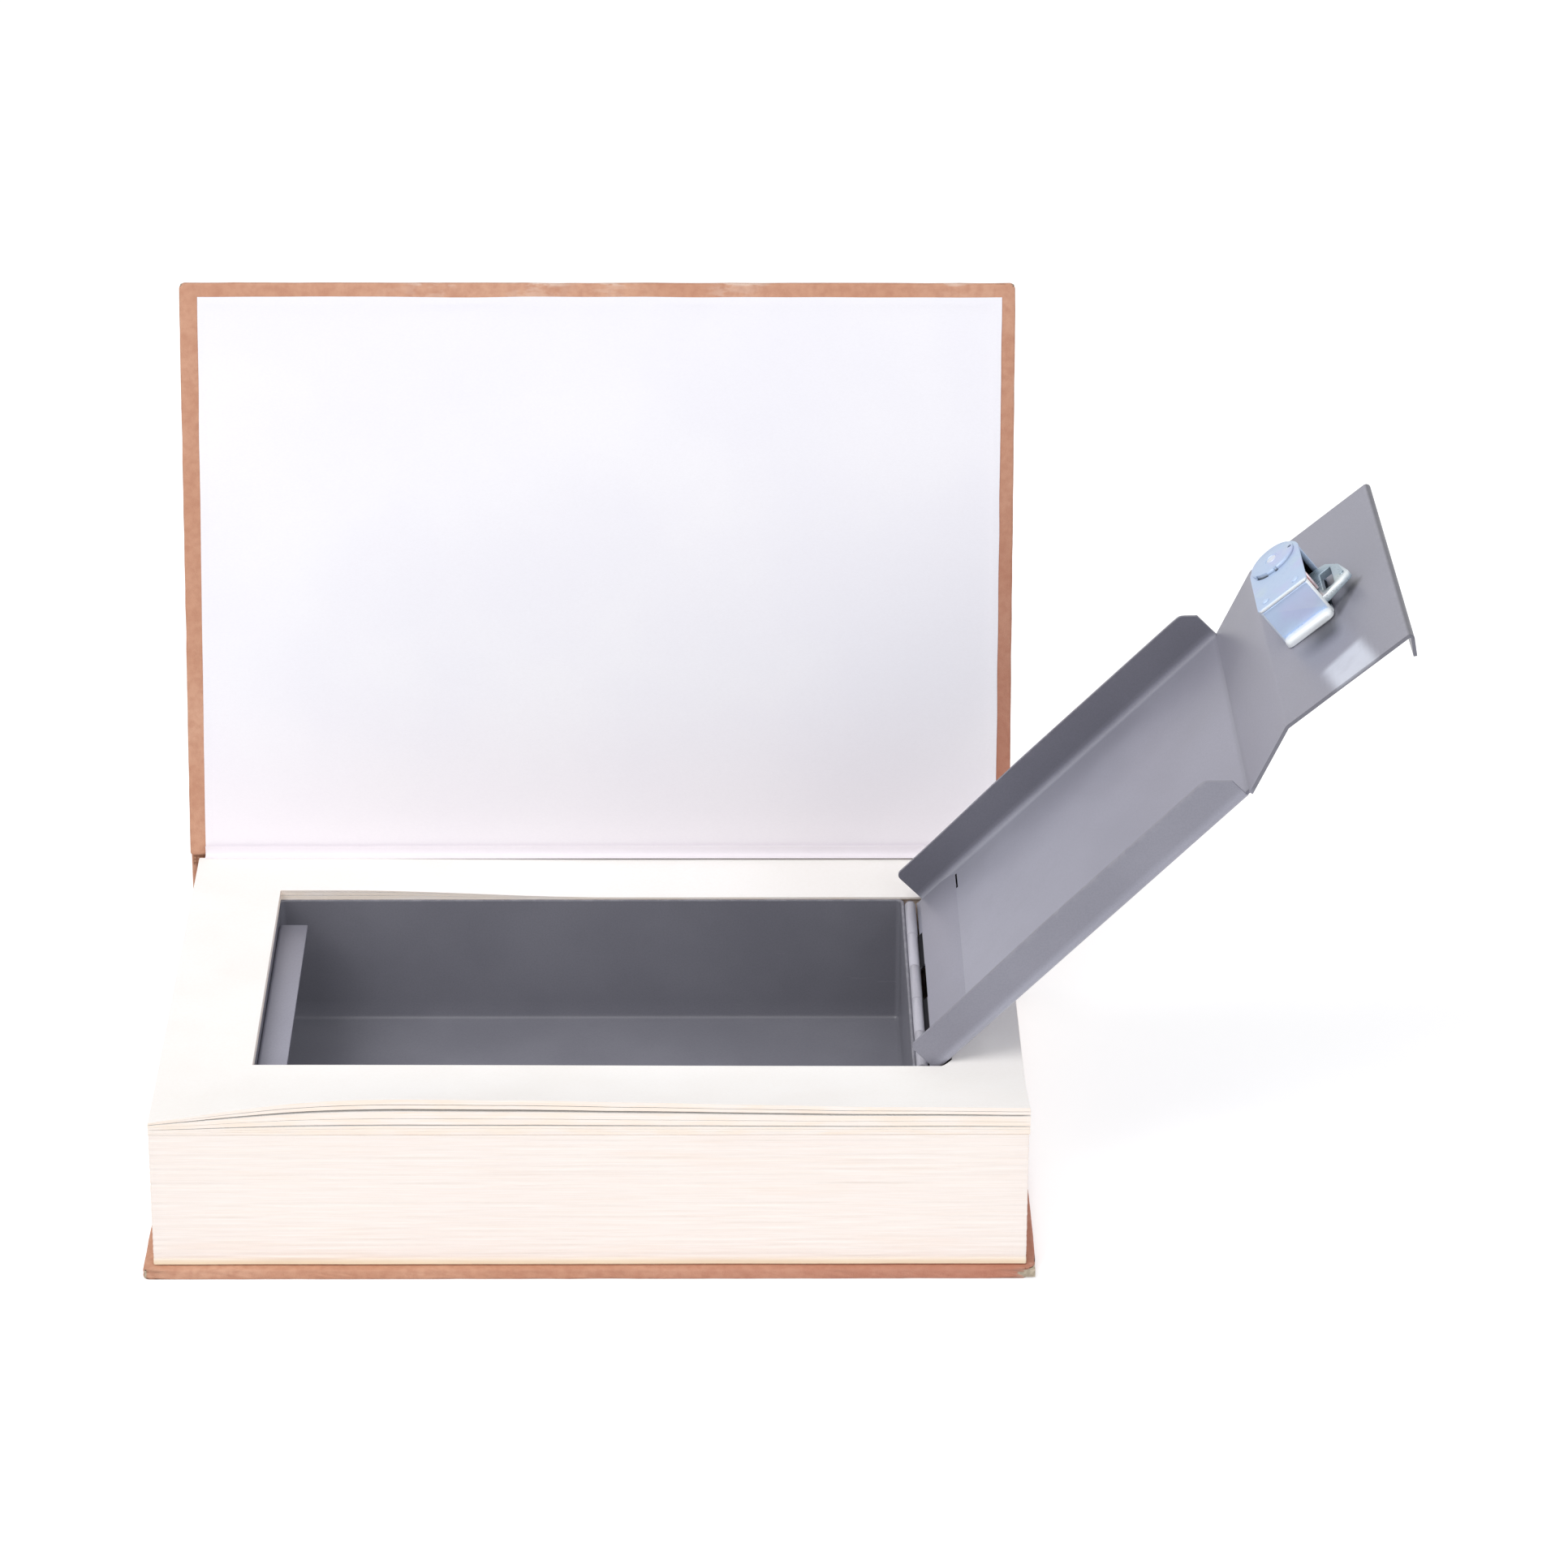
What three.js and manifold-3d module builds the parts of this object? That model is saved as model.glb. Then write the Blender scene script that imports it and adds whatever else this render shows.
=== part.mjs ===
// Book-shaped safe: a hard cover, a hollow block of paper leaves, and a steel box with a hinged, key-locked lid.
// Millimetres, +Z up. The book lies on its back cover with the fore-edge towards -Y and the spine towards +Y.
// The origin is on the underside of the back cover, at its centre.

import * as THREE from 'three';
import { mergeVertices } from 'three/addons/utils/BufferGeometryUtils.js';
import Module from 'manifold-3d';

const wasm = await Module();
wasm.setup();

// Overall book
const BOOK_LENGTH = 240;
const HALF_LENGTH = BOOK_LENGTH / 2;
const FORE_EDGE_Y = -89;
const SPINE_Y = 89.6;
const FIT_GAP = 0.3;
const SKIN_GAP = 0.03;

// Cover boards and their covering
const COVERING = 0.4;
const CORE_THICKNESS = 2.2;
const BOARD_THICKNESS = CORE_THICKNESS + 2 * COVERING;
const SPINE_STRIP = 10.3;
const BOARD_BACK_Y = SPINE_Y - SPINE_STRIP;
const TURN_IN_SIDE = 5.2;
const TURN_IN_FRONT = 4.6;
const TURN_IN_BACK = 6;
const ENDPAPER = 0.25;
const ENDPAPER_SIDE_INSET = 4.4;
const ENDPAPER_FRONT_INSET = 3.9;
const ENDPAPER_BACK_INSET = 1.2;

// Page block and loose top leaves
const SQUARE_SIDE = 2.8;
const SQUARE_FRONT = 2.6;
const SPINE_SPACE = 8.2;
const PAGE_HALF_LENGTH = HALF_LENGTH - SQUARE_SIDE;
const PAGE_FRONT_Y = FORE_EDGE_Y + SQUARE_FRONT;
const PAGE_BACK_Y = SPINE_Y - SPINE_SPACE;
const PAGE_BASE_Z = BOARD_THICKNESS + ENDPAPER;
const RIM_Z = 42.5;
const LOWER_LEAVES = 1.3;
const MIDDLE_LEAVES = 1.1;
const UPPER_LEAVES = 0.6;
const LEAF_LOWER_TOP_Z = RIM_Z + LOWER_LEAVES;
const LEAF_MIDDLE_TOP_Z = LEAF_LOWER_TOP_Z + MIDDLE_LEAVES;
const PAGE_TOP_Z = LEAF_MIDDLE_TOP_Z + UPPER_LEAVES;
const LEAF_GAP = 0.12;
const LEAF_COLUMNS = 30;
const LEAF_ROWS = 7;
const LEAF_CURL_POWER = 1.5;
const LEAF_LEFT_SHARE = 0.06;
const LEAF_RIGHT_SHARE = 0.66;
const LEAF_CREST_SHARE = 0.27;
const LEAF_FAN_LOWER = 1.4;
const LEAF_FAN_MIDDLE = 4.6;
const LEAF_FAN_UPPER = 7.6;

// Case hinge of the front cover
const COVER_PIVOT_SETBACK = 8.54;
const COVER_PIVOT_DROP = 1.5;
const COVER_PIVOT_Y = SPINE_Y - COVER_PIVOT_SETBACK;
const COVER_PIVOT_Z = PAGE_TOP_Z - COVER_PIVOT_DROP;
const COVER_OPEN_DEG = 102;
const COVER_CLOSED_Z = PAGE_TOP_Z + FIT_GAP;

// Spine
const SPINE_CORE = 1.9;
const SPINE_CORE_Y = SPINE_Y - COVERING - SPINE_CORE;
const SPINE_TOP_Z = PAGE_TOP_Z + FIT_GAP;
const LOWER_GROOVE_RISE = 2;
const LOWER_GROOVE_LIP = 0.7;
const JOINT_CLOTH = 0.4;
const JOINT_CLOTH_INSET = 0.8;
const JOINT_CLOTH_DROP = 4.5;
const JOINT_CLOTH_WIDTH = 3;
const JOINT_CLOTH_FRONT_DROP = 1.8;
const JOINT_CLOTH_HALF = HALF_LENGTH - JOINT_CLOTH_INSET;
const JOINT_CLOTH_BOTTOM_Z = SPINE_TOP_Z - JOINT_CLOTH_DROP;
const JOINT_CLOTH_FRONT_Y = SPINE_CORE_Y - JOINT_CLOTH_WIDTH;
const JOINT_CLOTH_FRONT_Z = SPINE_TOP_Z - JOINT_CLOTH_FRONT_DROP;
const JOINT_CLOTH_RADIUS = 1.2;
const LINING = 0.4;
const LINING_INSET = 9.2;
const LINING_HALF = PAGE_HALF_LENGTH - LINING_INSET;
const BAND_RADIUS = 1;
const BAND_INSET_Y = 1.2;

// Margins of paper round the steel box
const MARGIN_LEFT = 25.2;
const MARGIN_RIGHT = 19.2;
const MARGIN_FRONT = 35.4;
const MARGIN_BACK = 22.4;
const HINGE_HOLLOW = 10.6;
const CUT_RIGHT_X = PAGE_HALF_LENGTH - MARGIN_RIGHT;

// Steel box
const SHEET = 1;
const BOX_LEFT_X = MARGIN_LEFT - PAGE_HALF_LENGTH;
const BOX_RIGHT_X = CUT_RIGHT_X - HINGE_HOLLOW;
const BOX_FRONT_Y = PAGE_FRONT_Y + MARGIN_FRONT;
const BOX_BACK_Y = PAGE_BACK_Y - MARGIN_BACK;
const BOX_BASE_Z = PAGE_BASE_Z;
const BOX_CORNER = 1.6;
const LEAF_OPENING_EDGE = 0.2;
const LEAF_CURL_GAP = 2;
const FRONT_MARGIN_END_Y = BOX_FRONT_Y - LEAF_CURL_GAP;

// Strike ledge under which the bolt is thrown
const LEDGE_REACH = 8.3;
const LEDGE_DROP = 3.9;
const LEDGE_TOP_Z = RIM_Z - LEDGE_DROP;
const LEDGE_LEG = 9;
const LEDGE_FRONT_INSET = 9;
const LEDGE_BACK_INSET = 8.5;
const LEDGE_FRONT_Y = BOX_FRONT_Y + LEDGE_FRONT_INSET;
const LEDGE_BACK_Y = BOX_BACK_Y - LEDGE_BACK_INSET;

// Lid hinge
const KNUCKLE_RADIUS = 1.6;
const LID_PIVOT_DROP = 0.5;
const LID_PIVOT_X = BOX_RIGHT_X + SHEET + KNUCKLE_RADIUS;
const LID_PIVOT_Z = RIM_Z - LID_PIVOT_DROP;
const LID_OPEN_DEG = 134.8;
const KNUCKLE_BORE = 0.85;
const PIN_RADIUS = 0.8;
const PIN_HEAD_RADIUS = 1.5;
const PIN_HEAD = 0.6;
const HINGE_LEAF = 0.8;
const HINGE_INSET = 3.4;
const HINGE_START_Y = BOX_FRONT_Y + HINGE_INSET;
const HINGE_END_Y = BOX_BACK_Y - HINGE_INSET;
const KNUCKLES = 5;
const KNUCKLE_PLAY = 0.25;
const BOX_LEAF_DROP = 13;
const LID_LEAF_REACH = 15.9;

// Lid, in its own frame: t runs from the pivot to the free end, h from the outer face towards the inside
const LID_FACE = KNUCKLE_RADIUS + SHEET;
const LID_START_T = 1.3;
const LID_NOTCH_T = 3.3;
const LID_NOTCH_FROM_EDGE = 22.5;
const LID_SIDE_PLAY = 0.5;
const LID_END_PLAY = 1;
const LID_END_T = LID_PIVOT_X - BOX_LEFT_X - LID_END_PLAY;
const PLATE_RUN = 41;
const RAMP_RUN = 20;
const RAMP_END_T = LID_END_T - PLATE_RUN;
const RAMP_START_T = RAMP_END_T - RAMP_RUN;
const LID_FLANGE = 12.4;
const LID_FLANGE_START_T = 3.6;
const LID_FLANGE_SHORT = 1;
const LID_FLANGE_END_T = RAMP_START_T - LID_FLANGE_SHORT;
const LID_FLANGE_CORNER = 6;
const LID_BEND = 1.8;
const RAMP_DEPTH = 7.3;
const LID_END_DEPTH = 3.7;
const LIP_CORNER_T = LID_END_T + 0.4;
const LIP_HEIGHT = 4.6;
const LIP_BACK = 3.2;
const LIP_BEND = 0.8;
const PLATE_BEND = 1.6;
const SLOT_T = LID_LEAF_REACH + 0.9;
const SLOT_WIDTH = 1.1;
const SLOT_LENGTH = 10;
const SLOT_FROM_EDGE = 9;

// Lock, in the frame of the lock plate: a along the plate, c away from its inner face
const LOCK_FROM_RAMP = 14;
const LOCK_OFFSET_Y = 14;
const LOCK_T = RAMP_END_T + LOCK_FROM_RAMP;
const LOCK_Y = (BOX_FRONT_Y + BOX_BACK_Y) / 2 + LOCK_OFFSET_Y;
const CASE_WIDTH = 16;
const CASE_REACH = 24;
const CASE_HEIGHT = 12.2;
const CASE_WALL = 1.4;
const CASE_FOOT = 1.2;
const CASE_EDGE = 1.2;
const CASE_MOUTH_Y = -1;
const TOE_REACH = 2;
const TOE_HEIGHT = 2.4;
const TOE_INSET = 0.4;
const TOE_CORNER = 1.6;
const CAP_THICKNESS = 1.2;
const CAP_BOSS_RADIUS = 7;
const CAP_BOSS_HEIGHT = 1;
const CAP_RIVET_RADIUS = 1.1;
const CAP_RIVET_HEIGHT = 0.5;
const CAP_RIVET_FROM_EDGE = 3;
const CAP_RIVET_A = CASE_WIDTH / 2 - CAP_RIVET_FROM_EDGE;
const CAP_RIVET_Y = CAP_RIVET_FROM_EDGE - CASE_REACH;
const PLUG_RADIUS = 4.8;
const PLUG_PROUD = 0.6;
const PLATE_HOLE = 5.1;
const BEZEL_RADIUS = 7.4;
const BEZEL_HEIGHT = 1.1;
const KEYWAY_WIDTH = 1.3;
const KEYWAY_HEIGHT = 6.4;
const KEYWAY_DEPTH = 1.8;
const SPINDLE_RADIUS = 2.4;
const SPINDLE_PLAY = 0.06;
const SPINDLE_FOOT = 0.6;
const CRANK_RADIUS = CASE_WIDTH / 2 - CASE_WALL - FIT_GAP;
const CRANK_START = 1.5;
const CRANK_THICKNESS = 1;
const CRANK_PIN_RADIUS = 0.9;
const CRANK_PIN_EDGE = 0.45;
const CRANK_THROW = CRANK_RADIUS - CRANK_PIN_RADIUS - CRANK_PIN_EDGE;
const CRANK_PIN_END = 5.4;
const CRANK_REST_DEG = -135;
const BOLT_START = 2.9;
const BOLT_THICKNESS = 2.2;
const BOLT_REACH = 9;
const BOLT_END_PLAY = 0.5;
const BOLT_NEAR_PLAY = 0.2;
const BOLT_INNER_A = BOLT_END_PLAY + CASE_WALL - CASE_WIDTH / 2;
const BOLT_LOW_Y = BOLT_NEAR_PLAY + CASE_WALL - CASE_REACH;
const BOLT_HIGH_Y = -SPINDLE_RADIUS - FIT_GAP;
const TONGUE_SLANT = 4;
const TONGUE_SHOULDER = 7;
const TONGUE_BEVEL = 13;
const WINDOW_FROM_CASE = 0.6;
const WINDOW_WIDTH = 3.6;
const WINDOW_NEAR = 3.2;
const WINDOW_FAR = 4.8;
const BOLT_SLOT_PLAY = 0.3;
const BOLT_PIP_RADIUS = 0.6;
const BOLT_PIP_DEPTH = 0.5;
const SPRING_RADIUS = 3.5;
const SPRING_WIRE = 0.32;
const SPRING_TURNS = 4;
const SPRING_START = 6.6;
const SPRING_END = 11.4;
const SPRING_STEPS_PER_TURN = 8;
const SPRING_SIDES = 5;
const LEVERS_FROM_MOUTH = 0.8;
const LEVERS_THICKNESS = 2.4;
const LEVERS_WIDTH = 6;
const LEVERS_START = 5.6;
const ROUND_STEPS = 24;
const SMALL_STEPS = 12;
const BEND_STEPS = 4;

// Surface looks
const LOOKS = {
  core: { color: 0xb9a892, roughness: 0.9, metalness: 0 },
  covering: { color: 0xcda087, roughness: 0.65, metalness: 0 },
  endpaper: { color: 0xf3f1f8, roughness: 0.85, metalness: 0 },
  leaves: { color: 0xfbf3ea, roughness: 0.9, metalness: 0 },
  cloth: { color: 0xb98a70, roughness: 0.8, metalness: 0 },
  band: { color: 0xe8dcc8, roughness: 0.9, metalness: 0 },
  boxPaint: { color: 0x5d5d66, roughness: 0.5, metalness: 0.2 },
  lidPaint: { color: 0xa9a9b2, roughness: 0.45, metalness: 0.25 },
  steel: { color: 0xb8b8bf, roughness: 0.35, metalness: 0.9 },
  zinc: { color: 0xbccbe2, roughness: 0.3, metalness: 0.8 },
  brass: { color: 0xc79a6a, roughness: 0.35, metalness: 0.9 },
};

const group = new THREE.Group();

function addPiece(name, geometry, look) {
  const clean = geometry.index ? geometry.toNonIndexed() : geometry;
  clean.computeVertexNormals();
  const mesh = new THREE.Mesh(clean, new THREE.MeshStandardMaterial(LOOKS[look]));
  mesh.name = name;
  group.add(mesh);
}

// Solid helpers

function solidOf(geometry) {
  const bare = geometry.clone();
  bare.deleteAttribute('normal');
  bare.deleteAttribute('uv');
  const merged = mergeVertices(bare, 1e-4);
  const vertProperties = new Float32Array(merged.attributes.position.array);
  const triVerts = new Uint32Array(merged.index.array);
  return new wasm.Manifold(new wasm.Mesh({ numProp: 3, vertProperties, triVerts }));
}

function geometryOf(solid) {
  const mesh = solid.getMesh();
  const geometry = new THREE.BufferGeometry();
  geometry.setAttribute('position', new THREE.BufferAttribute(new Float32Array(mesh.vertProperties), 3));
  geometry.setIndex(new THREE.BufferAttribute(new Uint32Array(mesh.triVerts), 1));
  return geometry;
}

function joined(...geometries) {
  return geometryOf(geometries.map(solidOf).reduce((total, next) => total.add(next)));
}

function cutFrom(geometry, ...cutters) {
  return geometryOf(cutters.map(solidOf).reduce((total, next) => total.subtract(next), solidOf(geometry)));
}

function slab(x0, x1, y0, y1, z0, z1) {
  const geometry = new THREE.BoxGeometry(x1 - x0, y1 - y0, z1 - z0);
  return geometry.translate((x0 + x1) / 2, (y0 + y1) / 2, (z0 + z1) / 2);
}

function shapeOf(points) {
  return new THREE.Shape(points.map(([u, v]) => new THREE.Vector2(u, v)));
}

function extruded(points, depth) {
  return new THREE.ExtrudeGeometry(shapeOf(points), { depth, bevelEnabled: false, steps: 1 });
}

// A profile in y and z, drawn out along x
function alongX(points, x0, x1) {
  const turn = new THREE.Matrix4().makeBasis(
    new THREE.Vector3(0, 1, 0),
    new THREE.Vector3(0, 0, 1),
    new THREE.Vector3(1, 0, 0),
  );
  return extruded(points, x1 - x0).applyMatrix4(turn).translate(x0, 0, 0);
}

// A profile in x and z, drawn out along y
function alongY(points, y0, y1) {
  const turn = new THREE.Matrix4().makeBasis(
    new THREE.Vector3(1, 0, 0),
    new THREE.Vector3(0, 0, 1),
    new THREE.Vector3(0, -1, 0),
  );
  return extruded(points, y1 - y0).applyMatrix4(turn).translate(0, y1, 0);
}

// A profile in x and y, drawn out along z
function alongZ(points, z0, z1) {
  return extruded(points, z1 - z0).translate(0, 0, z0);
}

function roundSolid(radius, z0, z1, steps, x = 0, y = 0) {
  const geometry = new THREE.CylinderGeometry(radius, radius, z1 - z0, steps);
  return geometry.rotateX(Math.PI / 2).translate(x, y, (z0 + z1) / 2);
}

function roundAlongY(radius, y0, y1, steps, x, z) {
  const geometry = new THREE.CylinderGeometry(radius, radius, y1 - y0, steps);
  return geometry.translate(x, (y0 + y1) / 2, z);
}

function roundedRectangle(x0, x1, y0, y1, radius, steps) {
  const corners = [
    [x1 - radius, y1 - radius, 0],
    [x0 + radius, y1 - radius, 1],
    [x0 + radius, y0 + radius, 2],
    [x1 - radius, y0 + radius, 3],
  ];
  const points = [];
  for (const [cx, cy, quarter] of corners) {
    for (let i = 0; i <= steps; i += 1) {
      const angle = (quarter + i / steps) * Math.PI / 2;
      points.push([cx + radius * Math.cos(angle), cy + radius * Math.sin(angle)]);
    }
  }
  return points;
}

// Centre line of a bent sheet, with an arc at each inner corner
function bentLine(points, radius, lastRadius) {
  const line = [];
  const corner = points.map(([u, v]) => new THREE.Vector2(u, v));
  const first = corner[1].clone().sub(corner[0]).normalize();
  line.push({ at: corner[0], along: first });
  for (let i = 1; i < corner.length - 1; i += 1) {
    const before = corner[i].clone().sub(corner[i - 1]).normalize();
    const after = corner[i + 1].clone().sub(corner[i]).normalize();
    const turn = Math.atan2(before.cross(after), before.dot(after));
    const bend = i === corner.length - 2 ? lastRadius : radius;
    const trim = bend * Math.tan(Math.abs(turn) / 2);
    const start = corner[i].clone().addScaledVector(before, -trim);
    const side = Math.sign(turn);
    const centre = start.clone().add(new THREE.Vector2(-before.y, before.x).multiplyScalar(side * bend));
    for (let k = 0; k <= BEND_STEPS; k += 1) {
      const part = turn * k / BEND_STEPS;
      const at = start.clone().rotateAround(centre, part);
      const along = before.clone().rotateAround(new THREE.Vector2(0, 0), part);
      line.push({ at, along });
    }
  }
  const last = corner[corner.length - 1];
  const lastAlong = last.clone().sub(corner[corner.length - 2]).normalize();
  line.push({ at: last, along: lastAlong });
  return line;
}

function bentSheet(points, radius, thickness, lastRadius = radius) {
  const line = bentLine(points, radius, lastRadius);
  const left = line.map(({ at, along }) => [at.x - along.y * thickness / 2, at.y + along.x * thickness / 2]);
  const right = line.map(({ at, along }) => [at.x + along.y * thickness / 2, at.y - along.x * thickness / 2]);
  return left.concat(right.reverse());
}

// Cover boards

function boardCore(baseZ, inset = SKIN_GAP) {
  const edge = COVERING + inset;
  const x = HALF_LENGTH - edge;
  const z0 = baseZ + edge;
  return slab(-x, x, FORE_EDGE_Y + edge, BOARD_BACK_Y - edge, z0, baseZ + BOARD_THICKNESS - edge);
}

// The covering wraps the outer face and the edges, and turns in on the inner face
function boardCovering(baseZ, innerUp) {
  const wrap = slab(-HALF_LENGTH, HALF_LENGTH, FORE_EDGE_Y, BOARD_BACK_Y, baseZ, baseZ + BOARD_THICKNESS);
  const window = slab(
    -HALF_LENGTH + TURN_IN_SIDE,
    HALF_LENGTH - TURN_IN_SIDE,
    FORE_EDGE_Y + TURN_IN_FRONT,
    BOARD_BACK_Y - TURN_IN_BACK,
    innerUp ? baseZ + COVERING : baseZ - COVERING,
    innerUp ? baseZ + BOARD_THICKNESS + COVERING : baseZ + BOARD_THICKNESS - COVERING,
  );
  return cutFrom(wrap, boardCore(baseZ, 0), window);
}

// The endpaper fills the window in the turn-ins and overlaps their edges
function boardEndpaper(baseZ, innerUp) {
  const face = innerUp ? baseZ + BOARD_THICKNESS : baseZ;
  const outward = innerUp ? 1 : -1;
  const depths = [face - outward * (COVERING - SKIN_GAP), face + outward * SKIN_GAP, face + outward * ENDPAPER];
  const fill = slab(
    -HALF_LENGTH + TURN_IN_SIDE + SKIN_GAP,
    HALF_LENGTH - TURN_IN_SIDE - SKIN_GAP,
    FORE_EDGE_Y + TURN_IN_FRONT + SKIN_GAP,
    BOARD_BACK_Y - TURN_IN_BACK - SKIN_GAP,
    Math.min(depths[0], depths[2]),
    Math.max(depths[0], depths[2]),
  );
  const sheet = slab(
    -HALF_LENGTH + ENDPAPER_SIDE_INSET,
    HALF_LENGTH - ENDPAPER_SIDE_INSET,
    FORE_EDGE_Y + ENDPAPER_FRONT_INSET,
    BOARD_BACK_Y - ENDPAPER_BACK_INSET,
    Math.min(depths[1], depths[2]),
    Math.max(depths[1], depths[2]),
  );
  return joined(fill, sheet);
}

function openCover(geometry) {
  const turned = geometry.translate(0, -COVER_PIVOT_Y, -COVER_PIVOT_Z);
  turned.rotateX(-THREE.MathUtils.degToRad(COVER_OPEN_DEG));
  return turned.translate(0, COVER_PIVOT_Y, COVER_PIVOT_Z);
}

// The back covering carries on through the lower groove and up over the spine
function lowerGroove() {
  const middle = COVERING / 2;
  const line = [
    [BOARD_BACK_Y - COVERING, middle],
    [BOARD_BACK_Y + LOWER_GROOVE_LIP, middle],
    [BOARD_BACK_Y + LOWER_GROOVE_LIP * 3, LOWER_GROOVE_RISE],
    [SPINE_CORE_Y - LOWER_GROOVE_LIP * 3, LOWER_GROOVE_RISE],
    [SPINE_CORE_Y - LOWER_GROOVE_LIP, middle],
    [SPINE_Y - COVERING, middle],
  ];
  return alongX(bentSheet(line, COVERING, COVERING), -HALF_LENGTH, HALF_LENGTH);
}

function spineWrap() {
  const wrap = slab(-HALF_LENGTH, HALF_LENGTH, SPINE_CORE_Y, SPINE_Y, 0, SPINE_TOP_Z);
  const x = HALF_LENGTH - COVERING;
  const core = slab(-x, x, SPINE_CORE_Y - COVERING, SPINE_Y - COVERING, COVERING, SPINE_TOP_Z - COVERING);
  return cutFrom(wrap, core);
}

function backCovering() {
  return joined(boardCovering(0, true), lowerGroove(), spineWrap());
}

function spineBoard() {
  const edge = COVERING + SKIN_GAP;
  const x = HALF_LENGTH - edge;
  return slab(-x, x, SPINE_CORE_Y, SPINE_Y - edge, edge, SPINE_TOP_Z - edge);
}

// Flexible cloth that hangs in the groove between the spine and the opened front cover
function frontJointCloth() {
  const nearSpine = SPINE_CORE_Y - SKIN_GAP - JOINT_CLOTH / 2;
  const line = [
    [nearSpine, SPINE_TOP_Z],
    [nearSpine, JOINT_CLOTH_BOTTOM_Z],
    [JOINT_CLOTH_FRONT_Y, JOINT_CLOTH_BOTTOM_Z],
    [JOINT_CLOTH_FRONT_Y, JOINT_CLOTH_FRONT_Z],
  ];
  return alongX(bentSheet(line, JOINT_CLOTH_RADIUS, JOINT_CLOTH), -JOINT_CLOTH_HALF, JOINT_CLOTH_HALF);
}

function spineLining() {
  const top = RIM_Z - FIT_GAP;
  return slab(-LINING_HALF, LINING_HALF, PAGE_BACK_Y, PAGE_BACK_Y + LINING, PAGE_BASE_Z, top);
}

function endBand(side) {
  const radius = BAND_RADIUS;
  const points = [];
  for (let i = 0; i <= SMALL_STEPS; i += 1) {
    const angle = Math.PI * i / SMALL_STEPS - Math.PI / 2;
    points.push([side * (PAGE_HALF_LENGTH + radius * Math.cos(angle)), radius * Math.sin(angle)]);
  }
  const band = alongZ(points, PAGE_BASE_Z, RIM_Z);
  return band.translate(0, PAGE_BACK_Y - BAND_INSET_Y, 0);
}

// Page block

function pageBlock() {
  const block = slab(-PAGE_HALF_LENGTH, PAGE_HALF_LENGTH, PAGE_FRONT_Y, PAGE_BACK_Y, PAGE_BASE_Z, RIM_Z);
  const hollow = slab(
    BOX_LEFT_X - SHEET - FIT_GAP,
    CUT_RIGHT_X,
    BOX_FRONT_Y - SHEET - FIT_GAP,
    BOX_BACK_Y + SHEET + FIT_GAP,
    PAGE_BASE_Z - SHEET,
    RIM_Z + SHEET,
  );
  return cutFrom(block, hollow);
}

// How far the fore-edge of the loose leaves lifts along the length of the book, as a share of the crest
function fanShare(x) {
  const run = (x + PAGE_HALF_LENGTH) / (2 * PAGE_HALF_LENGTH);
  if (run < LEAF_CREST_SHARE) {
    const rise = Math.sin(run / LEAF_CREST_SHARE * Math.PI / 2);
    return LEAF_LEFT_SHARE + (1 - LEAF_LEFT_SHARE) * rise;
  }
  const fall = (run - LEAF_CREST_SHARE) / (1 - LEAF_CREST_SHARE);
  return 1 - (1 - LEAF_RIGHT_SHARE) * (1 - Math.cos(fall * Math.PI)) / 2;
}

function leafLift(x, y, fan) {
  const reach = (FRONT_MARGIN_END_Y - y) / (FRONT_MARGIN_END_Y - PAGE_FRONT_Y);
  return reach <= 0 ? 0 : fan * fanShare(x) * reach ** LEAF_CURL_POWER;
}

function leafLines() {
  const left = BOX_LEFT_X - LEAF_OPENING_EDGE;
  const xLines = [-PAGE_HALF_LENGTH, left, CUT_RIGHT_X, PAGE_HALF_LENGTH];
  for (let i = 1; i < LEAF_COLUMNS; i += 1) {
    xLines.push(-PAGE_HALF_LENGTH + 2 * PAGE_HALF_LENGTH * i / LEAF_COLUMNS);
  }
  const yLines = [BOX_FRONT_Y - LEAF_OPENING_EDGE, BOX_BACK_Y + LEAF_OPENING_EDGE, PAGE_BACK_Y];
  for (let i = 0; i <= LEAF_ROWS; i += 1) {
    yLines.push(PAGE_FRONT_Y + (FRONT_MARGIN_END_Y - PAGE_FRONT_Y) * i / LEAF_ROWS);
  }
  const rising = (a, b) => a - b;
  return { xLines: xLines.sort(rising), yLines: yLines.sort(rising) };
}

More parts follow.
